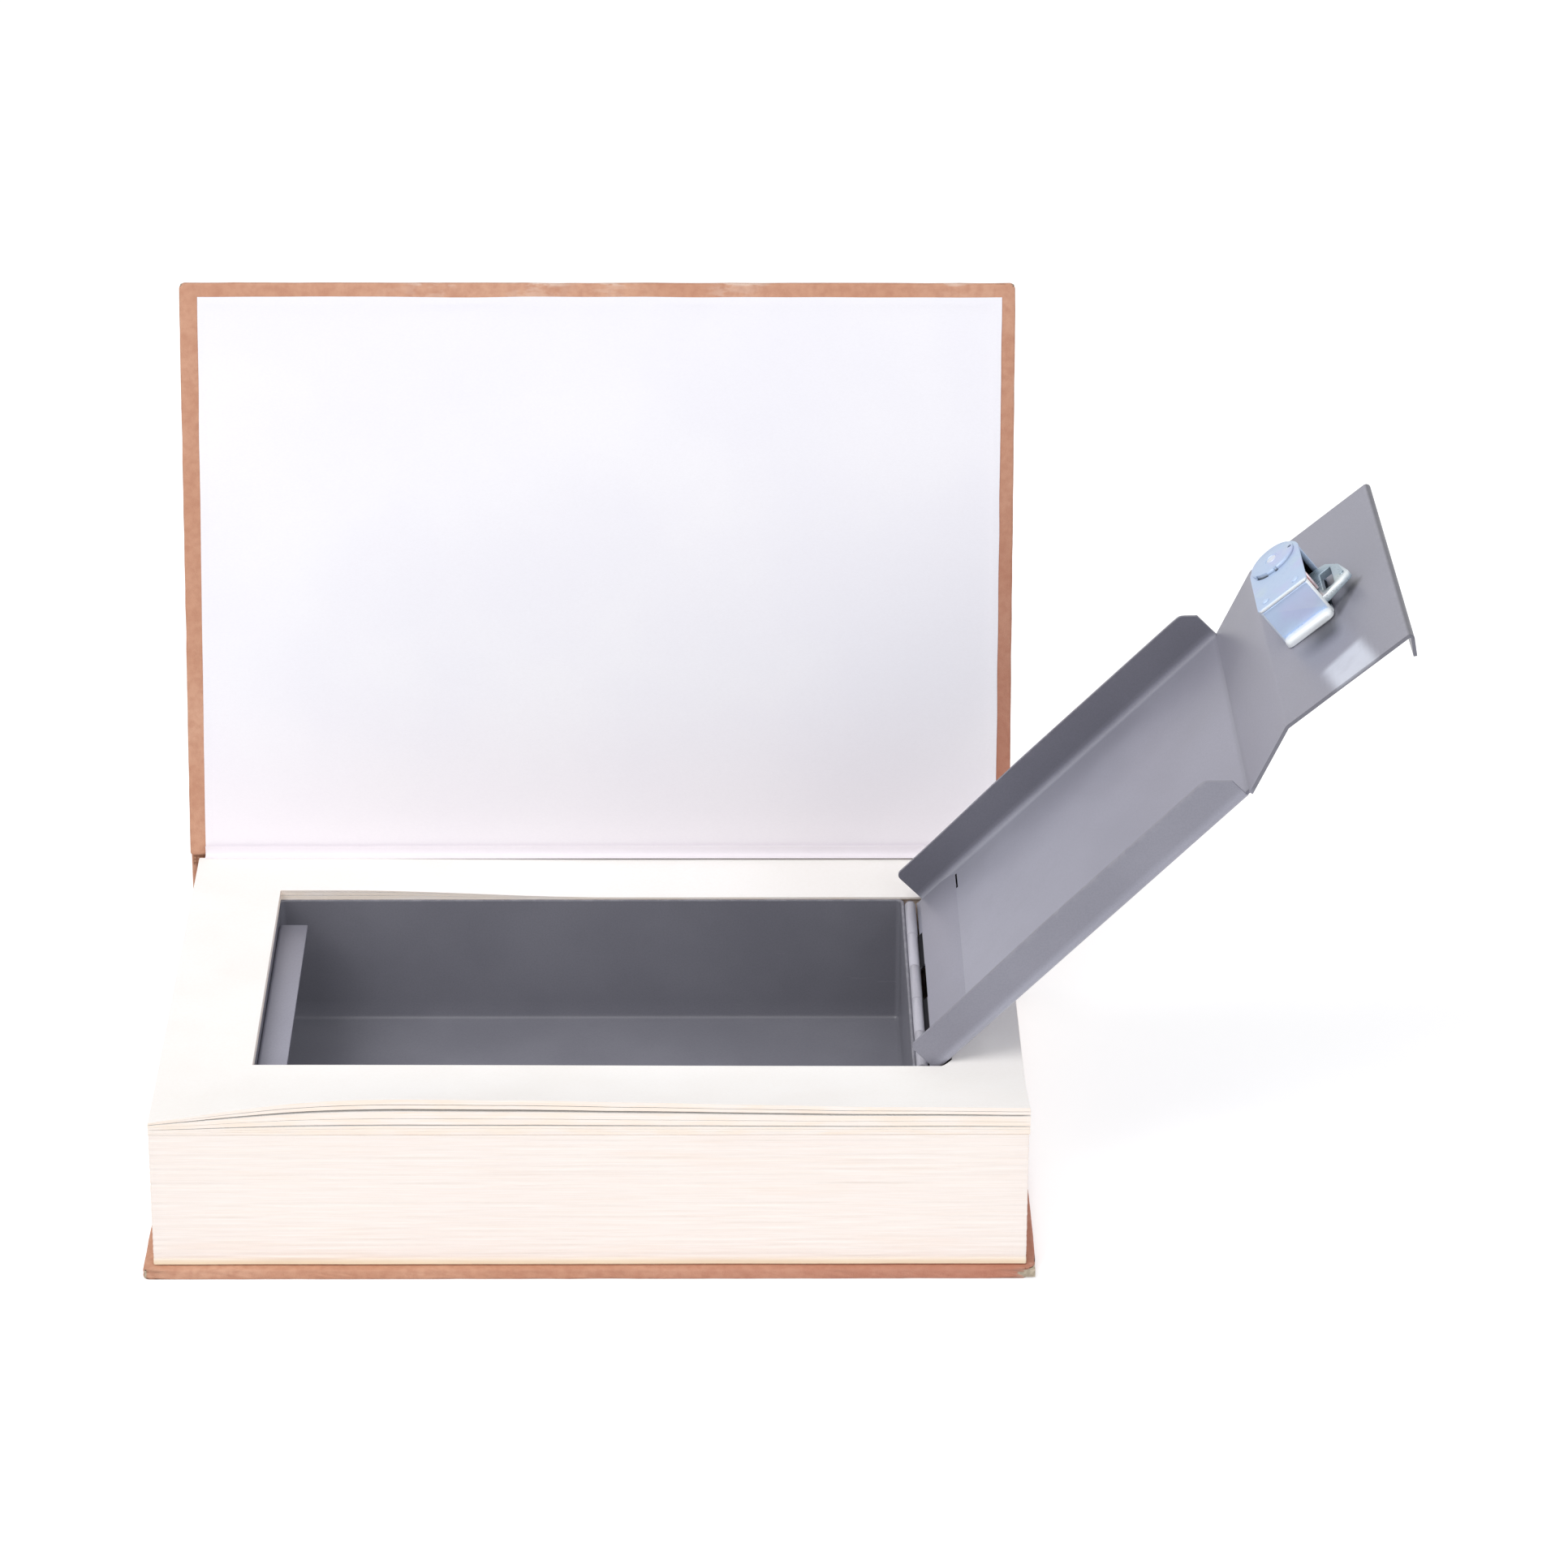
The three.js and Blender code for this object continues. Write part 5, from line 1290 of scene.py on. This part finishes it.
def lid_grime(t, y, h):
    """Painted shade on the flanges, folds, ramp and lip, painted shadows of the lock's toe and the bolt's
    tongue on the plate, and darker side edges of the plate.
    """
    fold = smooth(1.8, 0.3, abs(t - RAMP_T[0])) * 0.16
    side = smooth(1.6, 4.0, h) * smooth(124, 119, t)
    ramp = smooth(119, 122, t) * mix(0.08, 0.18, smooth(-20, 55, y) * smooth(141, 135, t))
    hidden = smooth(-1.0, -5.0, y) * on_inner_face(t, h)
    contact = smooth(-28.5, -15.5, y) ** 1.5 * smooth(146.0, 157.5, t) * smooth(164.6, 159.8, t) * hidden
    tongue = 0.55 * smooth(3.0, 0.8, along_tongue(t, y)) * on_inner_face(t, h)
    edge = 0.5 * smooth(0.3, 0.05, min(y - LID_Y[0], LID_Y[1] - y)) * smooth(119, 122, t)
    end = 0.62 * smooth(180.2, 180.9, t)
    panel = panel_shade(t, y) * smooth(3.0, 1.5, h) * smooth(121, 117, t)
    return max(fold, side * (0.42 if y > 0 else 0.25), ramp, 0.74 * contact, tongue, edge, end, panel)


def on_inner_face(t, h):
    """1 on the side of the plate that carries the lock."""
    return 1.0 if h > RAMP_DEPTH - (t - RAMP_T[1]) * math.tan(PLATE_TILT) + SHEET / 2 else 0.0


def along_tongue(t, y):
    """Distance from the line on the plate that lies under the near edge of the bolt."""
    start, run = Vector((161.5, -9.0)), Vector((8.5, 11.5))
    spot = Vector((t, y)) - start
    share = clamp(spot.dot(run) / run.dot(run))
    return (spot - run * share).length


def lid_paler(t, y, h):
    """Paler paint: a painted highlight beside the lock where a reflection falls, and slightly paler paint
    near the hinge.
    """
    skewed = t - 4.0 * (-29.0 - y) / 22.0
    start = y - 0.27 * (t - 165.0)
    patch = smooth(151.0, 155.0, skewed) * smooth(168.0, 164.5, skewed) * smooth(-30.5, -34.5, start)
    patch *= smooth(140, 141, t) * on_inner_face(t, h)
    return max(0.9 * patch, 0.12 * smooth(90, 20, t) * smooth(3.0, 1.6, h))


# Lock, measured from the axis of its plug

CASE_HALF = 8.0
CASE_NEAR = -24.0
CASE_HEIGHT = 12.2
CASE_WALL = 1.4
CAP = 1.2
CAP_TOP = CASE_HEIGHT + CAP
BOSS = 7.0
RIVET = 1.1
LEVERS = 5
LEVER_PITCH = 1.2
MOUTH_Y = -1.0
SUNK_HALF = 7.3
TOE_BACK = -22.9


def lock_outline(inset, corner=1.2):
    """Square at the near end and round about the plug at the other."""
    half, near = CASE_HALF - inset, CASE_NEAR + inset
    corner = max(corner - inset, 0.25)
    outline = []
    for side, start in ((-1, 180), (1, 270)):
        outline += arc(side * (half - corner), near + corner, corner, start, start + 90, 6)
    outline += [(half, mix(near + corner, 0, i / 8)) for i in range(1, 8)]
    outline += arc(0, 0, half, 0, 180, 40)
    return outline + [(-half, mix(0, near + corner, i / 8)) for i in range(1, 8)]


def lock_block(name, levels, material, outline_of=lock_outline):
    return lofted(name, [[on_lock(a, y, c) for a, y in outline_of(inset)] for inset, c in levels], material)


def lock_local(x, y, z):
    offset = Vector((x, y, z)) - PLATE_ORIGIN
    return offset.dot(PLATE_ALONG), offset.y, offset.dot(PLATE_INWARD)


def toe_outline(inset):
    return plain_corners(-7.8 + inset, 7.8 - inset, -26.6 + inset, TOE_BACK, (0.2, 0.2, 1.8, 1.8), 6)


def lock_case(looks):
    """Die-cast case with a sunk near face over a rounded toe, open on the side of the bolt."""
    zinc, top = looks["zinc"], CASE_HEIGHT + 2
    case = lock_block("case", [(0.12, 0.0), (0.0, 0.15), (0.0, CASE_HEIGHT - 0.2), (0.18, CASE_HEIGHT)], zinc)
    mouth = plain_corners(0, CASE_HALF + 3, CASE_NEAR + CASE_WALL, MOUTH_Y, 0.3)
    face = plain_corners(-SUNK_HALF, SUNK_HALF, 2.9, 11.8, 0.5, 4)
    sunk = [[on_lock(a, y, c) for a, c in face] for y in (CASE_NEAR - 1.0, CASE_NEAR + 0.28)]
    carve(
        case,
        lock_prism(lock_outline(CASE_WALL), 1.2, top, zinc),
        lock_prism(mouth, 1.2, top, zinc),
        lock_prism(ring(PLUG_HOLE), -1.0, 2.0, zinc),
        lofted("sunk", sunk, zinc),
    )
    soften(case, 0.16)
    angles = [k * math.pi / 12 for k in range(1, 7)]
    levels = [(0.25, 0.0), (0.0, 0.3), (0.0, 1.1)]
    levels += [(1.8 * (1.0 - math.cos(angle)), 1.1 + 1.6 * math.sin(angle)) for angle in angles]
    piece = join("lock_case_cast", case, lock_block("toe", levels, zinc, toe_outline))
    marks = {"bright": case_bright, "grime": case_grime}
    place_piece(piece, "lid", "lock_zinc", "lock_case", local=lock_local, **marks)


def case_bright(a, y, c):
    """Toe and edges catch the light."""
    toe = 1.0 if y < CASE_NEAR - 0.02 or abs(y - TOE_BACK) < 0.03 else 0.0
    rims = smooth(7.2, 7.5, a) * smooth(-22.0, -22.7, y)
    left = 0.8 * smooth(-7.2, -7.5, a) * smooth(-23.2, -23.7, y)
    return max(toe, rims, left)


def case_grime(a, y, c):
    """Painted shade: the hollow behind the mouth and its sill go dark."""
    inside = abs(a) < 7.7 and -22.7 < y < 7.7 and math.hypot(a, max(y, 0)) < 7.75 and 1.1 < c
    sill = a > 7.7 and -22.3 < y < -1.3 and c < 1.4
    return 0.95 if inside or sill else 0.0


def lock_cap(looks):
    """End plate with a bevelled edge that carries a painted highlight, and a round boss, staked at three
    places.
    """
    zinc = looks["zinc"]
    base = CASE_HEIGHT + 0.03
    levels = [(0.2, 0.0), (-0.1, 0.2), (-0.22, 0.45), (-0.22, 0.75), (-0.05, 1.05), (0.25, CAP_TOP - base)]
    plate = lock_block("cap", [(inset, base + rise) for inset, rise in levels], zinc)
    top = CAP_TOP + 1.0
    profile = [(0, CAP_TOP - 0.35), (BOSS, CAP_TOP - 0.35), (BOSS, top - 0.4), (BOSS - 0.12, top - 0.15)]
    profile += [(BOSS - 0.4, top), (2.1, top), (1.9, top - 0.22), (1.6, top - 0.22), (1.4, top), (0, top)]
    boss = turned("boss", profile, zinc, on_lock, 72)

    def stakes():
        crescent = arc(0, 0, 6.7, -146, -110, 9) + arc(0, 0, 7.55, -110, -146, 9)
        spots = [crescent, ring(0.55, 20, 0.4, -7.0), ring(0.6, 20, 6.2, -0.6)]
        return [lock_prism(spot, CAP_TOP - 0.3, top + 1, zinc) for spot in spots]

    carve(plate, lock_prism(ring(SPINDLE_HOLE), base - 1, CAP_TOP - 0.02, zinc), *stakes())
    carve(boss, *stakes())
    piece = tidy(join("lock_cap_plate", plate, boss), 40.0)
    place_piece(piece, "lid", "lock_zinc", "lock_cap", local=lock_local, bright=cap_bright, grime=cap_grime)


def cap_bright(a, y, c):
    # Painted highlight on the cap's near edge and in the middle of the boss.
    edge = smooth(CAP_TOP - 0.05, CAP_TOP - 0.3, c) * smooth(CASE_NEAR + 0.6, CASE_NEAR + 0.1, y)
    middle = 0.7 * smooth(1.9, 1.2, math.hypot(a, y)) * smooth(CAP_TOP + 0.5, CAP_TOP + 0.9, c)
    return max(edge, middle)


def cap_grime(a, y, c):
    """Painted shade in the bottoms of the stakes, and a faint darkening over the rest."""
    staked = smooth(CAP_TOP - 0.1, CAP_TOP - 0.25, c) if c > CAP_TOP - 0.4 and math.hypot(a, y) < 7.8 else 0.0
    return max(0.75 * staked, 0.07)


def cap_rivets(looks):
    base = CAP_TOP + 0.03
    angles = [k * math.pi / 14 for k in range(1, 7)]
    profile = [(0, base), (RIVET, base)]
    profile += [(RIVET * math.cos(angle), base + 0.04 + 0.44 * math.sin(angle)) for angle in angles]
    profile.append((0, base + 0.49))
    for side, node in ((-1, "cap_rivet_near"), (1, "cap_rivet_far")):
        dome = turned(node + "_dome", profile, looks["zinc"], on_lock, 28, side * 5.0, -21.0)
        place_piece(dome, "lid", "pin_steel", node)


def lock_bezel(looks):
    """Ring on the outer face round the keyhole."""
    levels = [(PLUG_HOLE, 0), (7.4, 0), (7.4, 0.45), (7.2, 0.8), (6.7, 1.08)]
    levels += [(5.7, 1.1), (5.25, 0.95), (PLUG_HOLE, 0.7), (PLUG_HOLE, 0)]
    profile = [(radius, -1.06 - drop) for radius, drop in levels]
    bezel = turned("lock_bezel_ring", profile, looks["zinc"], on_lock, 64)
    bm = bmesh.new()
    bm.from_mesh(bezel.data)
    bmesh.ops.delete(bm, geom=[face for face in bm.faces if len(face.verts) > 8], context="FACES_ONLY")
    bm.to_mesh(bezel.data)
    bm.free()
    place_piece(tidy(bezel), "lid", "lock_zinc", "lock_bezel")


def lock_plug(looks):
    """Plug with a stepped keyway, and the spindle behind it."""
    brass, face = looks["plug"], -2.7
    profile = [(0, face), (4.3, face), (4.65, face + 0.12), (4.8, face + 0.4)]
    profile += [(4.8, 1.2), (2.4, 1.22), (2.4, 13.1), (0, 13.1)]
    plug = turned("plug", profile, brass, on_lock, 56)
    outline = [(-3.2, -0.65), (-0.6, -0.65), (-0.6, -0.3), (0.9, -0.3), (0.9, -0.65), (3.2, -0.65)]
    outline += [(3.2, 0.65), (1.4, 0.65), (1.4, 0.35), (-1.2, 0.35), (-1.2, 0.65), (-3.2, 0.65)]
    carve(plug, lock_prism(outline, face - 1, face + 1.8, brass))
    place_piece(tidy(join("lock_plug_turned", plug)), "plug", "lock_brass", "lock_plug")


CRANK_ARM = 4.95
CRANK_REST = math.radians(-135)
CRANK_RADIUS = 6.3


def lock_crank(looks):
    steel = looks["steel"]
    edge = CRANK_RADIUS - 0.2
    rim = [(0, 1.5), (edge, 1.5), (CRANK_RADIUS, 1.65), (CRANK_RADIUS, 2.35), (edge, 2.5), (0, 2.5)]
    disc = carve(turned("disc", rim, steel, on_lock, 56), lock_prism(ring(SPINDLE_HOLE), 0.5, 3.5, steel))
    peg = [(0, 2.3), (0.9, 2.3), (0.9, 5.1), (0.7, 5.35), (0, 5.4)]
    a, y = CRANK_ARM * math.cos(CRANK_REST), CRANK_ARM * math.sin(CRANK_REST)
    pin = turned("pin", peg, steel, on_lock, 20, a, y)
    place_piece(join("lock_crank_disc", disc, pin), "plug", "pin_steel", "lock_crank")


BOLT_OUTLINE = (
    (-6.1, -22.4), (9.0, -22.4), (16.5, -18.4), (17.0, -17.4),
    (14.8, -9.4), (11.0, -3.7), (8.0, -2.7), (-6.1, -2.7),
)


def lock_bolt(looks):
    """Bolt with a bevelled tongue and a window, and a cross slot for the crank's pin."""
    metal = looks["bolt"]
    plate = lock_prism(BOLT_OUTLINE, 2.9, 5.1, metal)
    slot = [(-4.7, -6.15), (-2.3, -6.15), (-2.3, -1.3), (-4.7, -1.3)]
    window = plain_corners(8.6, 12.2, -19.2, -7.5, 0.7, 4)
    dimple = lock_prism(ring(0.6, 16, 15.0, -16.4), 4.6, 6, metal)
    carve(plate, lock_prism(slot, 2, 6, metal), lock_prism(window, 2, 6, metal), dimple)
    piece = tidy(join("lock_bolt_forked", soften(plate, 0.3, segments=3)))
    place_piece(piece, "bolt", "lock_zinc", "lock_bolt", local=lock_local, bright=bolt_bright)


def bolt_bright(a, y, c):
    """The rounded near edge of the tongue catches the light."""
    slant = (y + 22.4) * 0.88 - (a - 9.0) * 0.47
    near = smooth(0.95, 0.5, abs(slant)) * smooth(7.5, 8.5, a)
    return 0.85 * near * smooth(4.5, 4.85, c)


def bolt_guide(looks):
    """Pack of thin levers beside the mouth, and the post that keeps them."""
    plates = []
    for k in range(LEVERS):
        y = -22.3 + LEVER_PITCH * k
        outline = plain_corners(4.8, 7.15 + 0.16 * math.sin(k * 2.3), 5.6, 12.15, 0.5)
        loops = [[on_lock(a, height, c) for a, c in outline] for height in (y, y + 0.82)]
        plates.append(soften(lofted("lever", loops, looks["brass"]), 0.12))
    place_piece(join("lever_pack", *plates), "lid", "lock_brass", "bolt_guide")
    post = lock_prism(plain_corners(6.75, 7.65, -16.3, -15.2, 0.35), 5.35, 12.15, looks["post"])
    post.name = "lever_post"
    place_piece(soften(post, 0.12), "lid", "lock_zinc")


def spindle_spring(looks):
    turns, steps = 4, 36
    heights = spread(6.6, 11.4, turns * steps + 1)
    round_and_round = ring(3.5, steps) * turns + [(3.5, 0.0)]
    path = [on_lock(a, y, c) for (a, y), c in zip(round_and_round, heights)]
    wire = tube("spindle_spring_wire", path, 0.32, looks["steel"])
    place_piece(wire, "lid", "pin_steel", "spindle_spring")


# CAD nodes that stay as they are get the looks of their slots

KEPT = {
    "back_board": "core", "spine_board": "core", "front_board": "core", "back_endpaper": "endpaper",
    "spine_lining": "cloth",
}


def dress_kept_nodes(looks):
    for node, look in KEPT.items():
        mesh = NODES[node].data
        mesh.materials.clear()
        mesh.materials.append(looks[look])


# Stage, light and camera

FLOOR_GLOW = 0.42
WORLD_LIGHT = 0.6


def stage():
    """Pale floor that keeps the shadow and shows white to the camera and in reflections."""
    lines = spread(-3000.0, 3000.0, 25)
    look = Look("floor_pale", Roughness=1.0, Specular_IOR_Level=0.0)
    look.shade(Base_Color=look.layers((238, 238, 239), (look.noise(120, 3), 0.3, 0.7, 1.0, (241, 241, 242))))
    glow = look.node("ShaderNodeEmission", Color=(1, 1, 1, 1), Strength=look.times(look.seen(), FLOOR_GLOW))
    both = look.node("ShaderNodeAddShader")
    for shader, socket in zip((look.shader, glow), both.inputs):
        look.feed(socket, shader.outputs[0])
    look.feed(look.tree.nodes["Material Output"].inputs["Surface"], both.outputs[0])
    points = [(x, y, -0.05) for x in lines for y in lines]
    add_mesh("floor", points, grid_faces(len(lines), len(lines)), look.material)


def world():
    studio = bpy.data.worlds.new("studio")
    bpy.context.scene.world = studio
    studio.use_nodes = True
    nodes = Nodes(studio.node_tree)
    background = nodes.tree.nodes["Background"].inputs
    nodes.feed(background["Strength"], nodes.span(nodes.seen(), 0.0, 1.0, WORLD_LIGHT, 1.0))
    nodes.feed(background["Color"], (1.0, 1.0, 1.0, 1.0))


SUBJECT = (0.03, 0.0, 0.08)


def soft_light(name, spot, size, power, tint):
    data = bpy.data.lights.new(name, "AREA")
    data.shape = "RECTANGLE"
    data.size, data.size_y = size
    data.energy = power
    data.color = tint
    lamp = link(name, data)
    lamp.location = spot
    lamp.rotation_euler = (Vector(SUBJECT) - Vector(spot)).to_track_quat("-Z", "Y").to_euler()


def lights():
    soft_light("key", (-0.9, -0.7, 1.5), (1.2, 1.2), 15.4, (1.0, 0.988, 0.975))
    soft_light("fill", (1.3, -1.3, 0.8), (1.6, 1.2), 11.2, (0.97, 0.98, 1.0))


CAMERA_SPOT = (0.0324, -1.4144, 0.7441)
CAMERA_PITCH = 24.2849526
CAMERA_YAW = -0.81707919
CAMERA_ROLL = 0.31445574
CAMERA_LENS = 129.42


def camera():
    data = bpy.data.cameras.new("camera")
    data.sensor_width = 36.0
    data.lens = CAMERA_LENS
    data.clip_start, data.clip_end = 0.05, 20.0
    eye = link("camera", data)
    turns = ((CAMERA_YAW, "Z"), (90 - CAMERA_PITCH, "X"), (CAMERA_ROLL, "Z"))
    yaw, pitch, roll = (Matrix.Rotation(math.radians(angle), 4, axis) for angle, axis in turns)
    eye.matrix_world = Matrix.Translation(CAMERA_SPOT) @ yaw @ pitch @ roll
    bpy.context.scene.camera = eye


def build():
    looks = make_looks()
    for part in (
        dress_kept_nodes, back_case, front_cover, pastedown, joint_cloth, endpaper_hinge, page_block,
        loose_leaves, bands, box_shell, strike_ledge, box_leaf, lid_leaf, hinge_pin, lid_panel, lock_case,
        lock_cap, cap_rivets, lock_bezel, lock_plug, lock_crank, lock_bolt, bolt_guide, spindle_spring,
    ):
        part(looks)
    for setting in (stage, world, lights, camera):
        setting()


build()
bpy.context.scene.view_settings.view_transform = "Standard"
bpy.context.view_layer.update()
